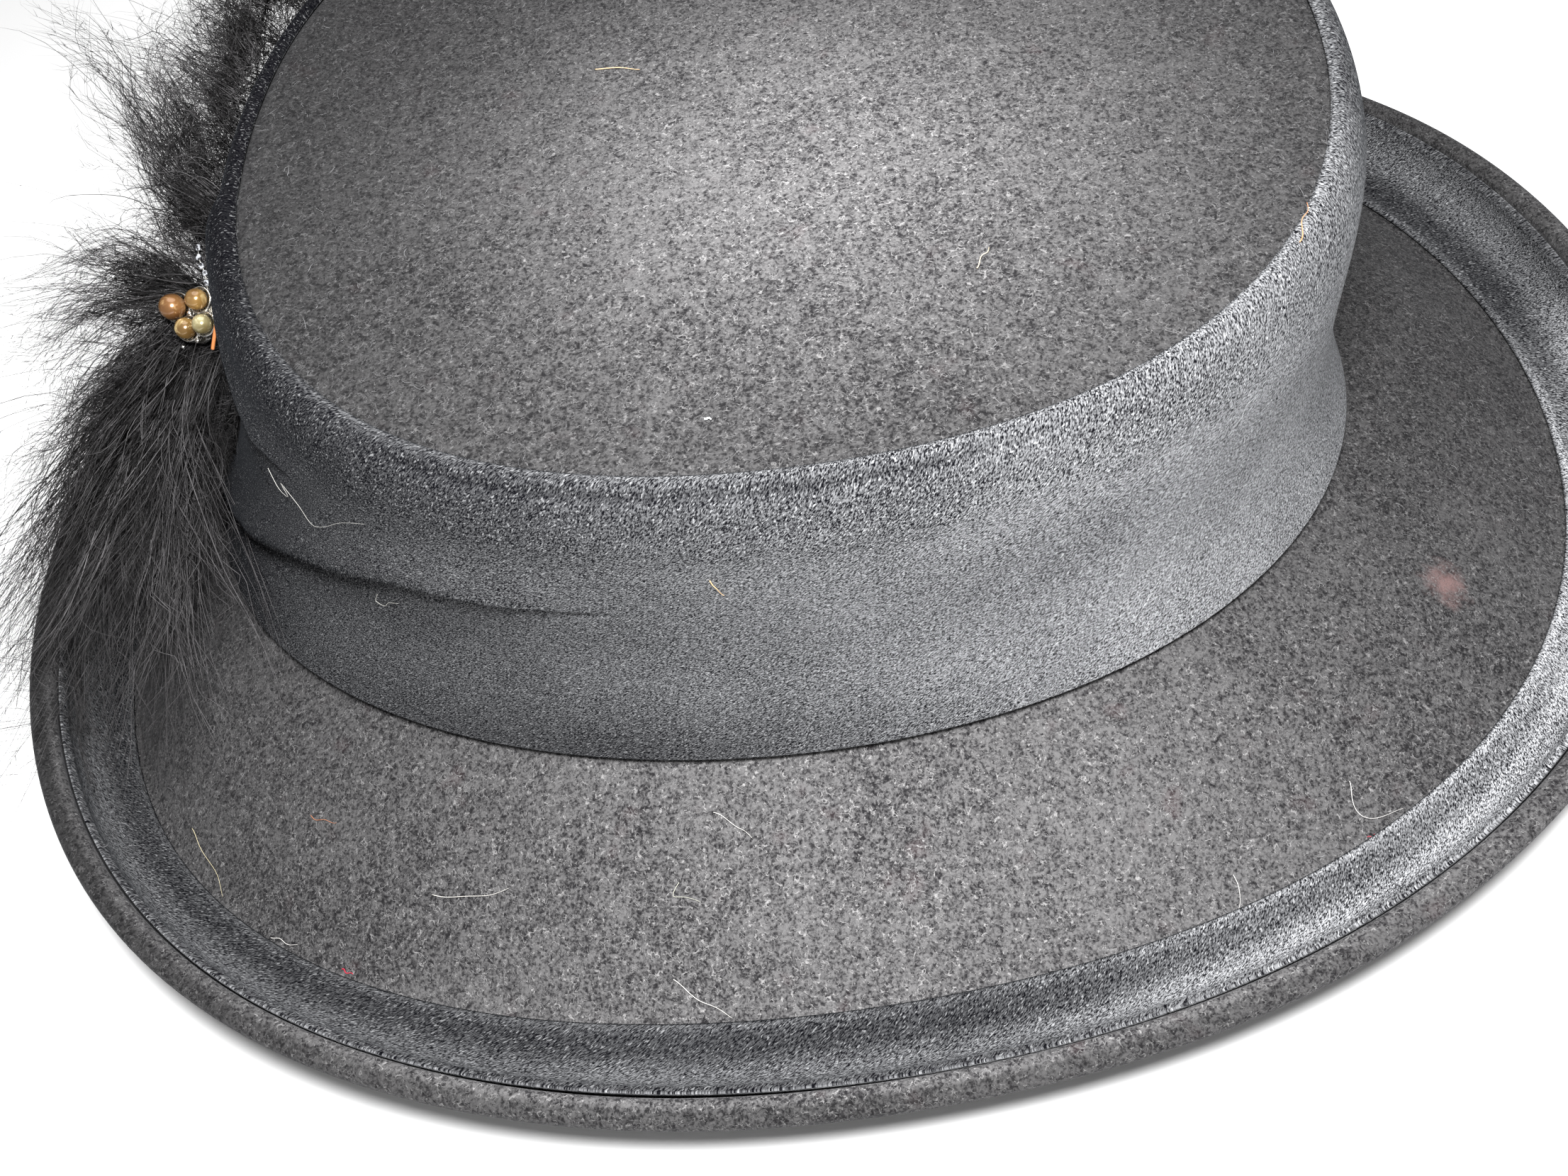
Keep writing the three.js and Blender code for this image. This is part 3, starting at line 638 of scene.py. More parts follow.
binding = {
    "steps": 420, "rows": 48, "thickness": 1.2, "hemRound": 1.1, "hemStart": -0.3, "hemRise": 0.2,
    "pileRadius": 128.0, "pileTurn": 0.8, "pileSqueeze": 0.5,
    # painted light and shade across it from the inner hem to the outer edge, then round the oval
    "shadingLeast": 0.24, "shadingSteps": [dict(by=0.60, low=0.22, high=0.60)],
    # painted highlight along the inner hem, and painted shade towards the outer edge
    "rimHighlight": 0.40, "rimWidth": 0.07, "edgeShade": 0.55, "edgeFrom": 0.86,
    "turnLeast": 0.52, "turnSteps": [dict(by=-0.04, low=215, high=250), dict(by=0.80, low=278, high=304),
                                     dict(by=1.7, low=304, high=334), dict(by=-2.56, low=340, high=374)],
}


def bindingShading(below, degrees, length):
    # painted light and shade: a painted highlight along the inner hem, painted shade over the inner zone,
    # painted light over the outer half, and painted shade at the outer edge and the back
    share = below / length
    nap = stepped(share, binding["shadingLeast"], binding["shadingSteps"])
    nap = nap + binding["rimHighlight"] * bell(share, 0.0, binding["rimWidth"])
    nap = nap * (1 - binding["edgeShade"] * smooth(share, binding["edgeFrom"], 1.0))
    turned = stepped(bearingOf(degrees), binding["turnLeast"], binding["turnSteps"])
    return np.clip(nap * turned, 0, 1)


def makeBinding():
    angle = np.linspace(0, 2 * np.pi, binding["steps"], endpoint=False)[None, :]
    length = downTo["edge"] - downTo["curlFoot"]
    below = np.linspace(0, length, binding["rows"])[:, None]
    edges = hemmed(below, length, binding["hemStart"], binding["hemRound"])
    rise = hat["seatGap"] + binding["hemRise"] + (binding["thickness"] - binding["hemRise"]) * edges
    nap = bindingShading(below, np.degrees(angle), length)
    piece = clothSheet("brimBinding", binding, downTo["curlFoot"] + below, angle, rise, nap)
    return finishPiece(piece, velvet, "velvet_binding", "brim_binding")


brimBinding = makeBinding()
print("binding made")


def strandMesh(name, centre, radius, sides=3, attributes=None):
    # ring i of a strand is centre(i) + radius(i) (cos a side + sin a rise), with a cap at its root
    # and a single point at its tip. centre is (strands, points, 3), radius is (strands, points).
    count, length = centre.shape[:2]
    ahead = unit(np.gradient(centre, axis=1))
    side = unit(np.cross(ahead, np.array([0.31, 0.22, 0.92])))
    rise = np.cross(side, ahead)
    turn = (2 * np.pi * np.arange(sides) / sides)[None, None, :, None]
    rings = centre[:, :-1, None] + radius[:, :-1, None, None] * (
        np.cos(turn) * side[:, :-1, None] + np.sin(turn) * rise[:, :-1, None])
    body = (length - 1) * sides
    points = np.concatenate([rings.reshape(count, body, 3), centre[:, -1:]], axis=1)
    each = body + 1
    first = (np.arange(count) * each)[:, None, None]
    quads = (first + ringQuads(length - 1, sides)[None]).reshape(-1, 4)
    tip = first + capTriangles(body, length - 2, sides)[None, :, ::-1]
    fan = np.stack([np.zeros(sides - 2), np.arange(1, sides - 1), np.arange(2, sides)], axis=-1).astype(int)
    root = first + fan[None]
    triangles = np.concatenate([tip.reshape(-1, 3), root.reshape(-1, 3)])
    spread = {key: np.repeat(values, each, axis=0) for key, values in (attributes or {}).items()}
    return addMesh(name, points, quads, triangles, spread)


# guide points cover the plume's side of the face, in degrees round it and from a share of the crown
guide = {"rows": 26, "from": 90, "to": 275, "step": 5, "top": 0.6}
guideDown, guideAngle = (part.ravel() for part in np.meshgrid(
    np.linspace(downTo["tip"] * guide["top"], downTo["edge"], guide["rows"]),
    np.radians(np.arange(guide["from"], guide["to"], guide["step"])), indexing="ij"))
guidePoints = facePoint(guideDown, guideAngle, shift)


def overHat(points):
    # the distance, angle and height of each point over the felt's face, by a few Newton steps
    # from the nearest of a few guide points
    flat = points.reshape(-1, 3)
    near = np.concatenate([
        np.argmin((part ** 2).sum(1)[:, None] - 2 * part @ guidePoints.T + (guidePoints ** 2).sum(1), axis=1)
        for part in np.array_split(flat, max(1, len(flat) // 4000))])
    down, angle = guideDown[near], guideAngle[near]
    halfDown, halfAngle = 0.3, 0.005    # half of the short steps on the face
    for _ in range(4):
        here = facePoint(down, angle, shift)
        along = facePoint(down + halfDown, angle, shift) - facePoint(down - halfDown, angle, shift)
        around = facePoint(down, angle + halfAngle, shift) - facePoint(down, angle - halfAngle, shift)
        gap = flat - here
        aa, bb, ab = ((u * v).sum(1) for u, v in ((along, along), (around, around), (along, around)))
        ga, gb = (gap * along).sum(1), (gap * around).sum(1)
        det = np.maximum(aa * bb - ab * ab, 1e-9)
        moved = 2 * halfDown * np.clip((ga * bb - gb * ab) / det, -20, 20)
        down = np.clip(down + moved, 1, downTo["edge"])
        angle = angle + 2 * halfAngle * np.clip((gb * aa - ga * ab) / det, -20, 20)
    here = facePoint(down, angle, shift)
    normal = face(down, angle, 1.0) - here
    height = ((flat - here) * normal).sum(1)
    return tuple(part.reshape(points.shape[:-1]) for part in (down, angle, height))


def clearOfHat(points, room):
    # points that lie in the hat, or closer to it than room, move out to that height over the face
    down, angle, height = overHat(points)
    onHat = down < downTo["edge"] - 0.2
    points = np.where((onHat & (height < room))[..., None], face(down, angle, room), points)
    points[..., 2] = np.maximum(points[..., 2], 0.6)
    return points


# The brooch lies on the plume's knot. across, up and out are its own directions.
brooch = {
    "centre": (-99.3, 1.2, 34.9), "facing": (-0.38, -0.62, 0.69),
    # feathers stay this far from its middle and from its stones, between a place behind and one ahead
    "clearance": 5.2, "stoneClearance": 1.7, "behind": -0.5, "stoneBehind": 0.9, "ahead": 25,
    "beads": [
        dict(across=-4.0, up=0.4, radius=2.3, paint=0), dict(across=1.1, up=2.9, radius=1.9, paint=1),
        dict(across=-0.35, up=-2.5, radius=1.9, paint=2), dict(across=3.3, up=-0.9, radius=1.75, paint=3),
    ],
    "balls": [(-1.15, 0.05, 0.55), (1.35, 0.6, 0.5), (2.75, 1.0, 0.4), (1.9, -4.1, 0.5), (-1.4, -6.0, 0.45),
              (-0.6, 2.2, 0.6), (-1.6, 2.6, 0.5), (-2.3, 3.2, 0.45), (-2.2, -4.4, 0.4), (4.6, 0.9, 0.35)],
    "plate": dict(at=(0.0, 0.2, 0.45), radii=(5.2, 4.9, 0.5), rows=8, steps=36, lumps=0.08),
    "solder": [dict(at=(-1.35, 2.0, 1.9), radii=(1.7, 0.7, 0.8), rows=9, steps=16, lumps=0.25),
               dict(at=(1.6, -2.3, 1.7), radii=(0.7, 1.4, 0.7), rows=9, steps=16, lumps=0.25)],
    "ballsOut": 2.2, "beadsOut": 1.35, "beadLumps": 0.012,
    "stones": [(-1.6, 11.4), (-1.1, 9.8), (-0.1, 8.5), (1.1, 7.5), (1.8, 6.0)], "stonesOut": 2.2,
    "stoneRadii": (0.52, 0.52, 0.66), "wireRadius": 0.18, "wireEnd": 1.5,
    "needle": [(7.2, 0.9, 3.6), (6.9, -1.6, 3.2), (6.3, -4.7, 2.6)], "needleRadius": 0.33,
    "headRadius": 0.5, "needleTint": (0.62, 0.22, 0.07),
}
outDir = unit(np.array(brooch["facing"]))
acrossDir = unit(np.cross((0.0, 0.0, 1.0), outDir))
broochAxes = np.stack([acrossDir, np.cross(outDir, acrossDir), outDir])
broochCentre = np.array(brooch["centre"]) + lift


def inFrontOfBrooch(points):
    # true where a point stands over the brooch, or over its row of stones
    own = (points - broochCentre) @ broochAxes.T
    out = own[..., 2]
    near = np.hypot(own[..., 0], own[..., 1]) < brooch["clearance"]
    over = near & (out > brooch["behind"]) & (out < brooch["ahead"])
    for across, up in brooch["stones"]:
        near = np.hypot(own[..., 0] - across, own[..., 1] - up) < brooch["stoneClearance"]
        over |= near & (out > brooch["stonesOut"] - brooch["stoneBehind"]) & (out < brooch["ahead"])
    return over


# Each quill runs from the knot over a high point to its end, and heights are from the band's lower edge.
# loose is how far its barbs stand off it at their roots, and fan how much further at their tips.
# A spray's barbs leave a spine that hugs the crown, and first and last are their directions at its two ends.
plume = {
    "knot": (-98.5, 5.0, 30.5), "barbPoints": 14, "barbRadius": 0.07, "room": 2.6,
    # a barb's own share of what its clump does, and the share of barbs that reach past the quill's end
    "perClump": 8, "own": 0.24, "farShare": 0.10, "leastLength": 0.25, "droop": 1.5,
    "quillWaves": {"size": 7.5, "own": 0.3}, "sprayWaves": {"size": 5.0, "own": 0.35},
    "sag": 1.8, "sagSpread": 1.6,
    "highest": (104.0, 4.5), "furthest": (-155.0, 6.0),    # where points are held back, and by how much
    "upper": [
        dict(over=(-97, 16, 52), end=(-110, 28, 73), barbs=170, loose=2.0, fan=3.8, roots=(0.1, 0.6)),
        dict(over=(-94, 26, 56), end=(-113, 46, 68), barbs=150, loose=2.4, fan=4.2, roots=(0.2, 0.6)),
        dict(over=(-107, 11, 46), end=(-128, 7, 47), barbs=240, loose=1.5, fan=2.6, roots=(0.0, 0.4)),
        dict(over=(-109, 6, 43), end=(-132, -6, 41), barbs=340, loose=1.5, fan=2.8, roots=(0.0, 0.4)),
    ],
    "lower": [
        dict(over=(-109, 2, 32), end=(-124, -12, 17), barbs=320, loose=2.6, fan=4.4, roots=(0.0, 0.5)),
        dict(over=(-112, -1, 31), end=(-133, -16, 11), barbs=360, loose=3.0, fan=5.5, roots=(0.0, 0.55)),
        dict(over=(-115, -8, 30), end=(-141, -33, 3), barbs=380, loose=3.4, fan=7.0, roots=(0.0, 0.6)),
        dict(over=(-115, -14, 29), end=(-142, -54, 0), barbs=420, loose=3.6, fan=8.0, roots=(0.0, 0.7)),
        dict(over=(-110, -22, 25), end=(-127, -70, 0), barbs=440, loose=3.6, fan=8.0, roots=(0.0, 0.7)),
        dict(over=(-104, -24, 21), end=(-108, -68, 1), barbs=380, loose=3.0, fan=7.0, roots=(0.0, 0.7)),
        dict(over=(-112, 6, 27), end=(-135, 8, 6), barbs=240, loose=2.6, fan=5.0, roots=(0.0, 0.6)),
    ],
    "upperSprays": [
        dict(spine=[(-98, 6, 38), (-94, 9, 46), (-90, 16, 54), (-87, 25, 61), (-83, 34, 67), (-78, 44, 71),
                    (-72, 54, 72)],
             first=(-15, 9, 13), last=(-16, 23, 1), barbs=940, spread=0.22, length=(0.35, 0.95), bunch=0.8),
        dict(spine=[(-96, 8, 40), (-91, 15, 50), (-87, 26, 60), (-80, 42, 69), (-72, 54, 73)],
             first=(-6, 2, 5), last=(-7, 6, 3), barbs=560, spread=0.7, length=(0.6, 1.6), bunch=1.3),
        dict(spine=[(-98, 5, 40), (-95, 9, 46), (-92, 15, 51)],
             first=(-9, 1, 3), last=(-8, 3, 4), barbs=340, spread=0.55, length=(0.5, 1.3), bunch=1.4),
        dict(spine=[(-92, 18, 46), (-88, 32, 54), (-82, 46, 60), (-74, 60, 62)],
             first=(-7, 3, 8), last=(-6, 6, 8), barbs=480, spread=0.6, length=(0.7, 1.7), bunch=1.6),
    ],
    "lowerSprays": [
        dict(spine=[(-96, 6, 32), (-96, -2, 26), (-95, -10, 18), (-93, -18, 11)],
             first=(-6, -3, 2), last=(-7, -7, -3), barbs=360, spread=0.7, length=(0.6, 1.5), bunch=1.4),
        dict(spine=[(-101, 2, 28), (-103, -6, 23), (-104, -14, 17)],
             first=(-24, -1, 4), last=(-20, -20, -6), barbs=380, spread=0.3, length=(0.4, 1.05), bunch=1.5),
    ],
}


# Fluff leaves both sides of each barb at a slant.
fluff = {
    "count": 19500, "length": (1.6, 6.0), "shorter": 0.65, "ahead": 0.85, "aside": (0.4, 0.9), "stray": 0.16,
    "curl": 0.22, "radius": 0.036, "taper": (1.0, 0.7, 0.2), "tone": 0.42, "closer": 0.3,
}


def quillPoint(quill, share):
    # quadratic Bezier: (1-t)^2 start + 2t(1-t) over + t^2 end, which may run past its end
    start, over, end = (np.array(p, float) + lift for p in (plume["knot"], quill["over"], quill["end"]))
    t = share[..., None]
    return (1 - t) ** 2 * start + 2 * t * (1 - t) * over + t ** 2 * end


def lazyWave(count, t, size):
    # size t (sum of three sines, slow to quick, with their own directions), so that tips wander most
    wave = np.zeros((count, t.shape[-1], 3))
    for low, high, share in ((1.5, 4.0, 0.56), (4.0, 8.0, 0.38), (9.0, 16.0, 0.20)):
        turn = dice.uniform(low, high, (count, 1)) * t + dice.uniform(0, 6.3, (count, 1))
        wave = wave + dice.normal(size=(count, 1, 3)) * size * share * (np.sin(turn) * t)[..., None]
    return wave


def heldBack(points):
    # z above a height, and x beyond a distance, come nearer to a limit by tanh
    height, room = plume["highest"]
    z = points[..., 2].copy()
    points[..., 2] = np.where(z > height, height + room * np.tanh((z - height) / room), z)
    reach, room = plume["furthest"]
    x = points[..., 0].copy()
    points[..., 0] = np.where(x < reach, reach - room * np.tanh((reach - x) / room), x)
    return points


def clumped(count):
    # the clump of each barb, and a function for random directions that a clump's barbs mostly share
    clumps = max(1, int(count / plume["perClump"]))
    member = dice.integers(0, clumps, count)

    def spreadOf():
        shared = dice.normal(size=(clumps, 1, 3))[member]
        return shared + plume["own"] * dice.normal(size=(count, 1, 3))

    return member, spreadOf


def clumpWaves(member, t, waves):
    # waves that a clump's barbs share, with smaller ones of each barb's own
    shared = lazyWave(len(member), t, waves["size"])[member]
    return shared + waves["own"] * lazyWave(len(member), t, waves["size"])


def clumpTones(member):
    # most barbs are dark, and a pale one mostly has a pale clump; the pale barbs are partly the feathers' own
    # lighter tone and partly painted highlight for light streaks on the strands
    shared = dice.random(len(member))[member] ** 2.4
    return 0.7 * shared + 0.3 * dice.random(len(member)) ** 2.4


def settled(centres, tones):
    # barbs moved clear of the hat, without those that would cover the brooch
    barbs, tone = heldBack(clearOfHat(np.concatenate(centres), plume["room"])), np.concatenate(tones)
    keep = ~inFrontOfBrooch(barbs).any(axis=1)
    return barbs[keep], tone[keep]


def quillBarbs(quills):
    # a barb follows its quill from one share of it to another, stands off it by its root's offset, which
    # shrinks towards its tip, and drifts by t^1.5
    centres, tones = [], []
    t = np.linspace(0, 1, plume["barbPoints"])[None, :]
    grow = t[..., None]
    for quill in quills:
        count = quill["barbs"]
        member, spreadOf = clumped(count)
        shared = dice.random((count, 1))[member]
        root = partway(quill["roots"], 0.6 * shared + 0.4 * dice.random((count, 1)))
        far = dice.random((count, 1))[member] < plume["farShare"]
        farTip = 1.0 + 0.15 * dice.random((count, 1))
        tip = np.where(far, farTip, 0.5 + 0.55 * dice.random((count, 1))[member])
        tip = tip + dice.normal(size=(count, 1)) * 0.04
        path = quillPoint(quill, partway((root, np.maximum(tip, root + plume["leastLength"])), t))
        offset = spreadOf() * quill["loose"] * (0.7, 1, 1)
        offset = offset + dice.normal(size=(count, 1, 3)) * (1 - 0.7 * grow)
        drift = spreadOf() * quill["fan"] * np.where(far, 1.2, 1.0)[..., None]
        waves = clumpWaves(member, t, plume["quillWaves"])
        droop = (0, 0, plume["droop"]) * grow ** 2
        centres.append(path + offset + drift * grow ** 1.5 - droop + waves)
        tones.append(clumpTones(member))
    return settled(centres, tones)


def sprayBarbs(sprays):
    # a barb is root + t heading + t^2 sag, with its root near a spine and its heading between two directions
    centres, tones = [], []
    t = np.linspace(0, 1, plume["barbPoints"])[None, :]
    grow = t[..., None]
    for spray in sprays:
        count = spray["barbs"]
        member, spreadOf = clumped(count)
        spine = curveThrough(spray["spine"], 200) + lift
        at = np.clip(dice.random(count)[member] + dice.normal(size=count) * 0.03, 0, 0.999)
        root = spine[(at * 199).astype(int)] + dice.normal(size=(count, 3)) * spray["bunch"]
        heading = partway(np.array([spray["first"], spray["last"]], float), at[:, None])
        length = np.linalg.norm(heading, axis=1)[:, None]
        heading = heading + length * spray["spread"] * spreadOf()[:, 0]
        heading = heading * partway(spray["length"], dice.random((count, 1)))
        sag = spreadOf() * plume["sagSpread"] - (0, 0, plume["sag"])
        waves = clumpWaves(member, t, plume["sprayWaves"])
        centres.append(root[:, None] + heading[:, None] * grow + sag * grow ** 2 + waves)
        tones.append(clumpTones(member))
    return settled(centres, tones)


def barbMesh(name, barbs, tone, *nodes):
    thick = np.where(dice.random((len(barbs), 1)) < 0.3, 1.5, 0.8) * dice.uniform(0.8, 1.2, (len(barbs), 1))
    taper = plume["barbRadius"] * (1 - 0.85 * np.linspace(0, 1, barbs.shape[1])) * thick
    finishPiece(strandMesh(name, barbs, taper, attributes={"tone": tone}), plumage, "plume", *nodes)


def makeFluff(name, barbs, tone):
    # it lies in its barb's own plane and shortens towards the barb's tip
    count, length = barbs.shape[:2]
    hairs = fluff["count"]
    plane = unit(dice.normal(size=(count, 3)) + (0, 0, 1.2))
    pick = dice.permutation(count)[(count * dice.random(hairs) ** 2.0).astype(int)]
    at = dice.random(hairs) ** 0.85 * 0.93
    low = np.floor(at * (length - 1)).astype(int)
    part = (at * (length - 1) - low)[:, None]
    root = barbs[pick, low] * (1 - part) + barbs[pick, low + 1] * part
    ahead = unit(barbs[pick, low + 1] - barbs[pick, low])
    side = unit(np.cross(ahead, plane[pick])) * dice.choice([-1.0, 1.0], (hairs, 1))
    aside = side * dice.uniform(*fluff["aside"], (hairs, 1))
    heading = unit(ahead * fluff["ahead"] + aside + fluff["stray"] * dice.normal(size=(hairs, 3)))
    size = dice.uniform(*fluff["length"], (hairs, 1)) * (1 - fluff["shorter"] * at[:, None])
    curl = fluff["curl"] * size * (ahead + 0.5 * dice.normal(size=(hairs, 3)))
    strands = [root, root + size * 0.5 * heading, root + size * 0.85 * heading + curl * 0.6]
    strands = heldBack(clearOfHat(np.stack(strands, axis=1), plume["room"] - fluff["closer"]))
    keep = ~inFrontOfBrooch(strands).any(axis=1)
    thin = fluff["radius"] * np.array(fluff["taper"])[None, :] * dice.uniform(0.6, 1.2, (hairs, 1))
    tones = {"tone": fluff["tone"] * tone[pick][keep]}
    finishPiece(strandMesh(name, strands[keep], thin[keep], attributes=tones), plumage, "plume")


def makePlume(name, quills, sprays, node):
    barbs, tone = quillBarbs(quills)
    more, moreTone = sprayBarbs(sprays)
    barbMesh(name + "Barbs", barbs, tone, node)
    barbMesh(name + "Spray", more, moreTone)
    makeFluff(name + "Down", np.concatenate([barbs, more]), np.concatenate([tone, moreTone]))


def plumagePaint():
    paint = Paint("black brown plumage")
    tone = paint.attribute("tone", 2)
    wisp = paint.noise(paint.place(), 260, 2.0, 0.5)
    mixed = tone * (0.5 + wisp.between(0.35, 0.65) * 0.5)
    colour = paint.mix(mixed, (0.0010, 0.0008, 0.0008), (0.19, 0.183, 0.188))
    paint.set(BaseColor=colour, Roughness=0.42)
    paint.shader.inputs["Specular IOR Level"].default_value = 0.16
    return paint.material


plumage = plumagePaint()
makePlume("plumeUpper", plume["upper"], plume["upperSprays"], "plume_upper")
makePlume("plumeLower", plume["lower"], plume["lowerSprays"], "plume_lower")
print("plume made")


def blob(centre, radii, axes=broochAxes, rows=12, steps=20, lumps=0.0):
    # ellipsoid: centre + rx sin v cos u across + ry sin v sin u up + rz cos v out, with slow lumps
    v = np.linspace(0, np.pi, rows + 2)[1:-1, None]
    u = np.linspace(0, 2 * np.pi, steps, endpoint=False)[None, :]
    swell = 1 + lumps * (np.sin(3 * u + 4 * v) + np.sin(2 * u - 5 * v + 1)) / 2
    own = np.stack(np.broadcast_arrays(np.sin(v) * np.cos(u) * swell, np.sin(v) * np.sin(u) * swell,
                                       np.cos(v) * swell), axis=-1) * radii
    poles = np.array([[0, 0, radii[2]], [0, 0, -radii[2]]])
    points = centre + np.concatenate([own.reshape(-1, 3), poles]) @ axes
    caps = np.concatenate([capTriangles(rows * steps, 0, steps),
                           capTriangles(rows * steps + 1, rows - 1, steps)[:, ::-1]])
    return points, ringQuads(rows, steps), caps


def hoop(centre, radius, wide, high, lean=0.0, steps=32, sides=10):
    # ring of oval section: (radius + wide cos w)(cos u, sin u) and high sin w out, leaning by lean cos u
    u = np.linspace(0, 2 * np.pi, steps, endpoint=False)[:, None]
    w = np.linspace(0, 2 * np.pi, sides, endpoint=False)[None, :]
    reach = radius + wide * np.cos(w) * (1 + 0.15 * np.sin(5 * u))
    out = high * np.sin(w) * (1 + lean * np.cos(u - 3.6))
    own = np.stack([reach * np.cos(u), reach * np.sin(u), out], axis=-1).reshape(-1, 3)
    return centre + own @ broochAxes, ringQuads(steps, sides, closed=True), np.zeros((0, 3), int)


def gathered(shapes):
    # several closed shapes as the points, quads and triangles of one mesh, each facing outwards
    points, quads, triangles, first = [], [], [], 0
    for p, q, t in shapes:
        q, t = outwards(p, q, t)
        points.append(p)
        quads.append(q + first)
        triangles.append(t + first)
        first += len(p)
    return np.concatenate(points), np.concatenate(quads), np.concatenate(triangles)


def onBrooch(across, up, out):
    return broochCentre + np.array([across, up, out]) @ broochAxes


def silverPaint():
    paint = Paint("worn silver")
    stain = paint.noise(paint.place(), 900, 3.0, 0.6)
    colour = paint.mix(stain.between(0.35, 0.7), (0.90, 0.89, 0.86), (0.45, 0.42, 0.37))
    paint.set(BaseColor=colour, Metallic=1.0, Roughness=stain * 0.3 + 0.08,
              Normal=paint.bump(paint.noise(paint.place(), 1500, 1.0), 0.00012, 0.5))
    return paint.material


def beadPaint(name, deep, warm, glow, seed):
    # bronze glass: streaks that bend through the bead, between a deep, a warm and a glowing colour
    paint = Paint(name)
    streak = paint.noise(paint.place(), 420, 2.0, 0.6, 1.2, seed)
    body = paint.noise(paint.place(), 190, 1.0, 0.5, 0.4, seed + 3)
    colour = paint.mix(body.between(0.35, 0.65), deep, warm)
    colour = paint.mix(streak.between(0.52, 0.72) * 0.8, colour, glow)
    paint.set(BaseColor=colour, Metallic=0.35, Roughness=0.22, CoatWeight=1.0, CoatRoughness=0.04)
    return paint.material


def stonePaint():
    paint = Paint("smoky stones")
    fleck = paint.noise(paint.place(), 1600, 1.0)
    paint.set(BaseColor=paint.mix(fleck.between(0.45, 0.6), (0.05, 0.05, 0.055), (0.62, 0.64, 0.68)),
              Metallic=0.3, Roughness=0.08, CoatWeight=1.0)
    return paint.material


def ownBlob(at, radii, **shape):
    return blob(onBrooch(*at), radii, **shape)


def makeBrooch():
    silver = silverPaint()
    tones = [((0.11, 0.045, 0.015), (0.27, 0.13, 0.045), (0.62, 0.40, 0.18)),
             ((0.12, 0.055, 0.02), (0.30, 0.17, 0.05), (0.62, 0.46, 0.22)),
             ((0.13, 0.07, 0.02), (0.36, 0.22, 0.07), (0.80, 0.62, 0.30)),
             ((0.20, 0.16, 0.07), (0.42, 0.37, 0.20), (0.78, 0.72, 0.48))]
    shapes = [ownBlob(**brooch["plate"])]
    for bead in brooch["beads"]:
        room, at = bead["radius"], (bead["across"], bead["up"])
        shapes.append(hoop(onBrooch(*at, 1.9), room + 0.28, 0.24, 0.85, lean=0.5))
        shapes.append(hoop(onBrooch(*at, 1.1), room + 0.05, 0.5, 0.45))
    for across, up, size in brooch["balls"]:
        shapes.append(ownBlob((across, up, brooch["ballsOut"]), (size, size, size), rows=7, steps=12))
    shapes += [ownBlob(**drop) for drop in brooch["solder"]]
    setting = addMesh("broochSetting", *gathered(shapes))
    finishPiece(setting, silver, "brooch_metal", "brooch_setting")
    for number, bead in enumerate(brooch["beads"], 1):
        size = bead["radius"]
        at = (bead["across"], bead["up"], brooch["beadsOut"] + size)
        ball = ownBlob(at, (size, size, size), rows=22, steps=32, lumps=brooch["beadLumps"])
        bronze = beadPaint(f"bronze glass {number}", *tones[bead["paint"]], number * 5.0)
        finishPiece(addMesh(f"bead{number}", *ball), bronze, "bead", f"bead_{number}")
    stops = np.array([onBrooch(across, up, brooch["stonesOut"]) for across, up in brooch["stones"]])
    ahead = unit(np.gradient(stops, axis=0))
    stones = []
    for stop, way in zip(stops, ahead):
        side = unit(np.cross(way, outDir))
        axes = np.stack([side, np.cross(way, side), way])
        stones.append(blob(stop, brooch["stoneRadii"], axes, rows=3, steps=6))
    row = addMesh("sparkleStones", *gathered(stones), faceted=True)
    finishPiece(row, stonePaint(), "brooch_stones", "sparkle_strand")
    line = np.concatenate([stops, stops[-1:] + ahead[-1:] * brooch["wireEnd"]])[None]
    wire = strandMesh("sparkleWire", line, np.full(line.shape[:2], brooch["wireRadius"]), sides=6)
    finishPiece(wire, silver, "brooch_stones")


makeBrooch()
print("brooch made")

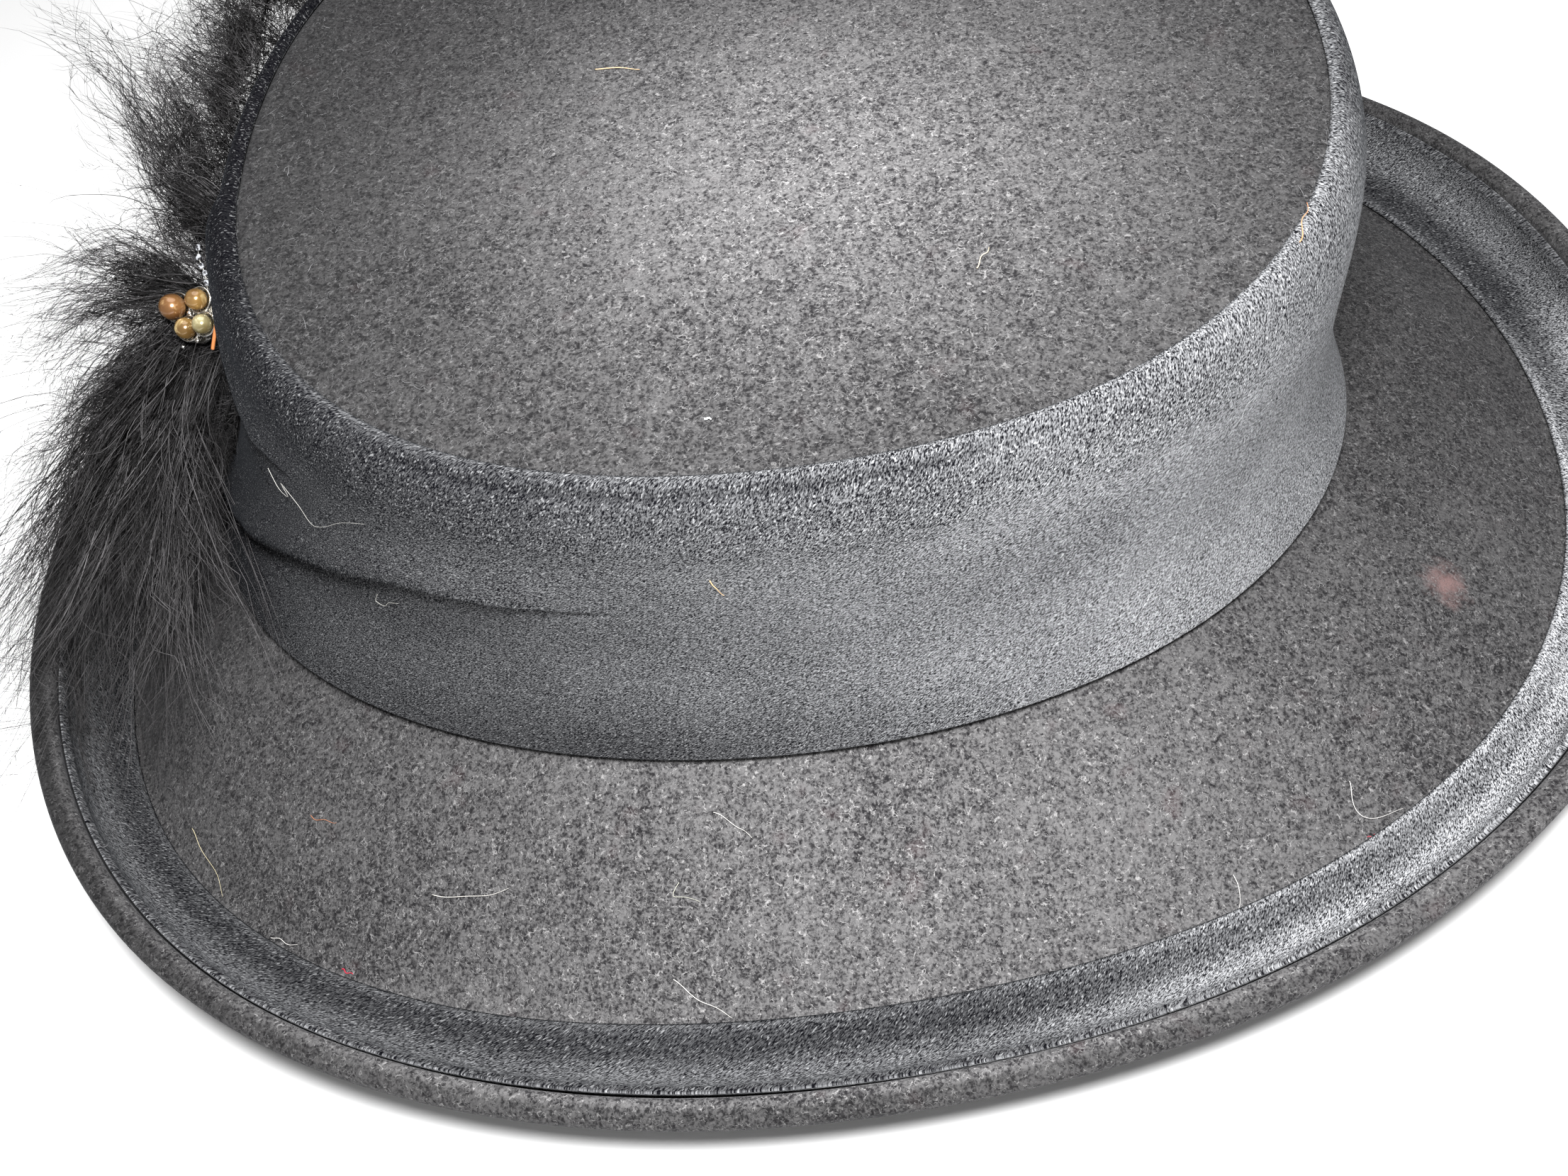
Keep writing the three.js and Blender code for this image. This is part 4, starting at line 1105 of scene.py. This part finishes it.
# Loose fibres and lint. Each line is a row of (distance down the felt's profile, degrees round).
lint = {
    "wiggle": 0.22, "points": 36, "thin": 0.6,
    "threads": [
        dict(line=[(26.8, 172.5), (23.0, 172.8), (19.2, 173.8)],
             radius=0.16, rise=0.3, colour=(0.62, 0.42, 0.24)),
        dict(line=[(56.2, 300), (55.0, 302), (54.0, 303.8)],
             radius=0.13, rise=0.3, colour=(0.62, 0.52, 0.36)),
        dict(line=[(157.2, 266), (159.0, 267.6), (161.2, 268.8)],
             radius=0.07, rise=0.4, colour=(0.85, 0.83, 0.78)),
        dict(line=[(171.8, 243.8), (171.2, 247), (169.0, 250)],
             radius=0.07, rise=0.4, colour=(0.85, 0.82, 0.76)),
        dict(line=[(180.2, 262.2), (183.0, 264), (185.5, 265.8)],
             radius=0.08, rise=0.4, colour=(0.85, 0.83, 0.78)),
        dict(line=[(181.5, 299.2), (184.0, 298.9), (186.5, 298)],
             radius=0.07, rise=0.4, colour=(0.8, 0.78, 0.75)),
        dict(line=[(178.2, 310.2), (183.0, 309), (185.8, 311.8)],
             radius=0.07, rise=0.4, colour=(0.8, 0.78, 0.75)),
        dict(line=[(167.0, 263), (168.6, 262.6), (169.5, 264.5)],
             radius=0.07, rise=0.5, colour=(0.6, 0.6, 0.5)),
        dict(line=[(181.5, 218.5), (181.8, 220.5), (183.0, 223.5), (185.0, 225.5)], radius=0.08, rise=0.4,
             colour=(0.62, 0.55, 0.36)),
        dict(line=[(185.5, 231.5), (184.8, 234)], radius=0.09, rise=0.4, colour=(0.75, 0.73, 0.7)),
        dict(line=[(167.8, 230.3), (167.6, 231.8), (166.8, 233.2)],
             radius=0.07, rise=0.4, colour=(0.55, 0.20, 0.08)),
        dict(line=[(185.2, 238.2), (185.4, 239.2)], radius=0.16, rise=0.3, colour=(0.5, 0.02, 0.05)),
        dict(line=[(186.0, 308.3), (186.3, 308.9)], radius=0.14, rise=0.3, colour=(0.35, 0.03, 0.05)),
        dict(line=[(73.0, 264.2), (73.0, 264.9)], radius=0.33, rise=0.3, colour=(0.85, 0.86, 0.88)),
        dict(line=[(83.2, 324.2), (82.6, 326.6), (82.0, 329)],
             radius=0.12, rise=2.1, colour=(0.72, 0.28, 0.12)),
        dict(line=[(97.2, 265.0), (99.2, 265.6), (101.5, 266.3)],
             radius=0.14, rise=2.1, colour=(0.62, 0.42, 0.22)),
        dict(line=[(103.5, 217.5), (105.8, 219.2), (104.6, 221.4), (102.2, 220.6), (103.6, 223.4),
                   (106.6, 225.2), (104.2, 227.6), (101.0, 229.6), (98.6, 231.4), (96.2, 233.8)],
             radius=0.06, rise=2.3, colour=(0.5, 0.49, 0.46)),
        dict(line=[(117.0, 232.5), (119.0, 232.2), (119.4, 233.4), (117.6, 234.0), (117.0, 235.2)],
             radius=0.06,
             rise=2.2, colour=(0.55, 0.54, 0.5)),
    ],
}


def makeLint():
    # a smooth line through each row of places, at rise over the face, with a small wiggle
    t = np.linspace(0, 1, lint["points"])
    centres, radii, colours = [], [], []
    for thread in lint["threads"]:
        down, degrees = curveThrough(thread["line"], lint["points"]).T
        wiggle = lint["wiggle"] * np.sin(t * 9 + dice.uniform(0, 6)) * min(1.0, 0.12 / thread["radius"])
        rise = thread["rise"] + 0.25 * np.sin(np.pi * t) ** 2
        centres.append(face(down + wiggle, np.radians(degrees), rise))
        radii.append(thread["radius"] * lint["thin"] * (1 - 0.55 * t))
        colours.append(thread["colour"])
    piece = strandMesh("lint", np.array(centres), np.array(radii), 5, {"tint": np.array(colours)})
    stops = np.array([onBrooch(*place) for place in brooch["needle"]])
    line = curveThrough(stops, lint["points"])[None]
    paint = Paint("lint")
    paint.set(BaseColor=paint.attribute("tint"), Roughness=0.6)
    finishPiece(piece, paint.material, "felt")
    radius = np.full(line.shape[:2], brooch["needleRadius"])
    needle = strandMesh("needle", line, radius, 6, {"tint": np.array([brooch["needleTint"]])})
    finishPiece(needle, paint.material, "brooch_metal")
    head = addMesh("needleHead", *blob(stops[0], np.full(3, brooch["headRadius"]), rows=6, steps=10))
    finishPiece(head, pearlPaint(), "brooch_metal")


def pearlPaint():
    paint = Paint("pearl")
    cloud = paint.noise(paint.place(), 700, 1.0)
    paint.set(BaseColor=paint.mix(cloud, (0.85, 0.82, 0.74), (0.70, 0.64, 0.55)), Roughness=0.25, CoatWeight=0.6)
    return paint.material


# Short curled fibres that stand up from the felt, and loose pile along the velvet's edges.
fuzz = {
    "radius": 0.022, "points": 5,
    "felt": 5600, "crownShare": 0.42, "feltLength": (0.8, 3.2), "feltRise": 0.05, "feltStand": (0.05, 0.28),
    "feltCurl": 2.4, "feltPale": 0.34,
    "hem": 2600, "hemLength": (0.4, 1.3), "hemRise": 0.9, "hemStand": (0.3, 0.9), "hemCurl": 1.2,
    "hemPale": 0.26, "hemSpread": 0.25,
    "girths": ([0, 80, 205], [1, 82, 138]),    # distances down the profile, and the oval's mean radius there
}


def curledFibres(down, angle, rise, size, stand, curl):
    # a walk along the face whose heading turns and waves, standing off it by size stand sin(2.2 t)
    t = np.linspace(0, 1, fuzz["points"])[None, :]
    count = len(down)
    turn, bend = dice.uniform(0, 2 * np.pi, (count, 1)), dice.normal(size=(count, 1)) * curl
    phase = dice.uniform(0, 6, (count, 1))
    heading = turn + bend * t + 0.5 * np.sin(phase + 5 * t)
    stepDown, stepAround = np.cumsum(np.cos(heading), axis=1), np.cumsum(np.sin(heading), axis=1)
    scale = size[:, None] / fuzz["points"]
    circle = np.maximum(np.interp(down, *fuzz["girths"]), 6)[:, None]
    return face(down[:, None] + stepDown * scale, angle[:, None] + stepAround * scale / circle,
                rise + stand[:, None] * size[:, None] * np.sin(t * 2.2))


def fibrePiece(name, fibres, thickest, paintName, pale, slot):
    count = len(fibres)
    taper = fuzz["radius"] * (1 - 0.6 * np.linspace(0, 1, fuzz["points"]))
    radius = taper * dice.uniform(0.7, thickest, (count, 1))
    piece = strandMesh(name, fibres, radius, attributes={"tone": dice.random(count)})
    finishPiece(piece, fibrePaint(paintName, pale), slot)


def makeFuzz():
    tip, base, foot, edge = (downTo[name] for name in ("tip", "base", "curlFoot", "edge"))
    count = fuzz["felt"]
    onCrown = dice.random(count) < fuzz["crownShare"]
    crownDown = np.sqrt(dice.random(count)) * tip
    down = np.where(onCrown, crownDown, base + dice.random(count) * (foot - base))
    angle = dice.uniform(0, 2 * np.pi, count)
    size = partway(fuzz["feltLength"], dice.random(count) ** 2.5)
    stand = dice.uniform(*fuzz["feltStand"], count)
    fibres = curledFibres(down, angle, fuzz["feltRise"], size, stand, fuzz["feltCurl"])
    fibrePiece("feltFuzz", fibres, 1.4, "felt fibres", fuzz["feltPale"], "felt")
    count = fuzz["hem"]
    hems = np.array([tip + 0.2, foot + 0.1, edge - 0.1])
    down = hems[dice.integers(0, 3, count)] + dice.normal(size=count) * fuzz["hemSpread"]
    size = dice.uniform(*fuzz["hemLength"], count)
    angle = dice.uniform(0, 2 * np.pi, count)
    stand = dice.uniform(*fuzz["hemStand"], count)
    fibres = curledFibres(np.minimum(down, edge - 0.1), angle, fuzz["hemRise"], size, stand, fuzz["hemCurl"])
    fibrePiece("hemFuzz", fibres, 1.3, "pile fibres", fuzz["hemPale"], "velvet_binding")


def fibrePaint(name, pale):
    paint = Paint(name)
    tone = paint.attribute("tone", 2)
    paint.set(BaseColor=paint.mix(tone, (0.06, 0.06, 0.065), (pale, pale, pale * 1.03)), Roughness=0.8)
    return paint.material


makeLint()
makeFuzz()
print("lint and fuzz made")


view = {"location": (30.74, -213.63, 213.82), "forward": (-0.1301, 0.6533, -0.7458),
        "up": (0.1090, 0.7571, 0.6442), "lens": 36.14, "sensor": 36.0}
lights = [    # place and target in metres, width of the disk and power
    dict(name="lamp", place=(0.040, -0.19, 0.30), target=(0.0, -0.02, 0.05), width=0.08, power=2.9),
    dict(name="ceiling", place=(0.10, 0.25, 0.95), target=(0.0, 0.0, 0.05), width=0.9, power=5.0),
]
room = {"floor": (0.9, 0.9, 0.9), "reach": 4000, "glow": 0.35}


def makeCamera():
    data = bpy.data.cameras.new("camera")
    data.lens, data.sensor_width = view["lens"], view["sensor"]
    forward, up = Vector(view["forward"]).normalized(), Vector(view["up"]).normalized()
    right = forward.cross(up).normalized()
    turn = Matrix((right, right.cross(forward), -forward)).transposed()
    place = Vector((*(np.array(view["location"][:2]) + shift), view["location"][2])) * mm
    camera = bpy.data.objects.new("camera", data)
    camera.matrix_world = Matrix.Translation(place) @ turn.to_4x4()
    bpy.context.scene.collection.objects.link(camera)
    bpy.context.scene.camera = camera


def makeLight(name, place, target, width, power):
    data = bpy.data.lights.new(name, "AREA")
    data.shape, data.size, data.energy = "DISK", width, power
    light = bpy.data.objects.new(name, data)
    light.location = place
    light.rotation_euler = (Vector(target) - Vector(place)).to_track_quat("-Z", "Y").to_euler()
    bpy.context.scene.collection.objects.link(light)


def makeRoom():
    paint = Paint("pale floor")
    paint.set(BaseColor=room["floor"], Roughness=0.9)
    reach = room["reach"]
    corners = [(-reach, -reach, 0), (reach, -reach, 0), (reach, reach, 0), (-reach, reach, 0)]
    floor = addMesh("floor", corners, [(0, 1, 2, 3)])
    floor.data.materials.append(paint.material)
    world = bpy.data.worlds.new("soft white room")
    world.use_nodes = True
    backdrop = world.node_tree.nodes["Background"].inputs
    backdrop["Color"].default_value = (1, 1, 1, 1)
    backdrop["Strength"].default_value = room["glow"]
    bpy.context.scene.world = world
    bpy.context.scene.view_settings.view_transform = "Standard"


makeCamera()
for light in lights:
    makeLight(**light)
makeRoom()
print("camera, lights and floor made")
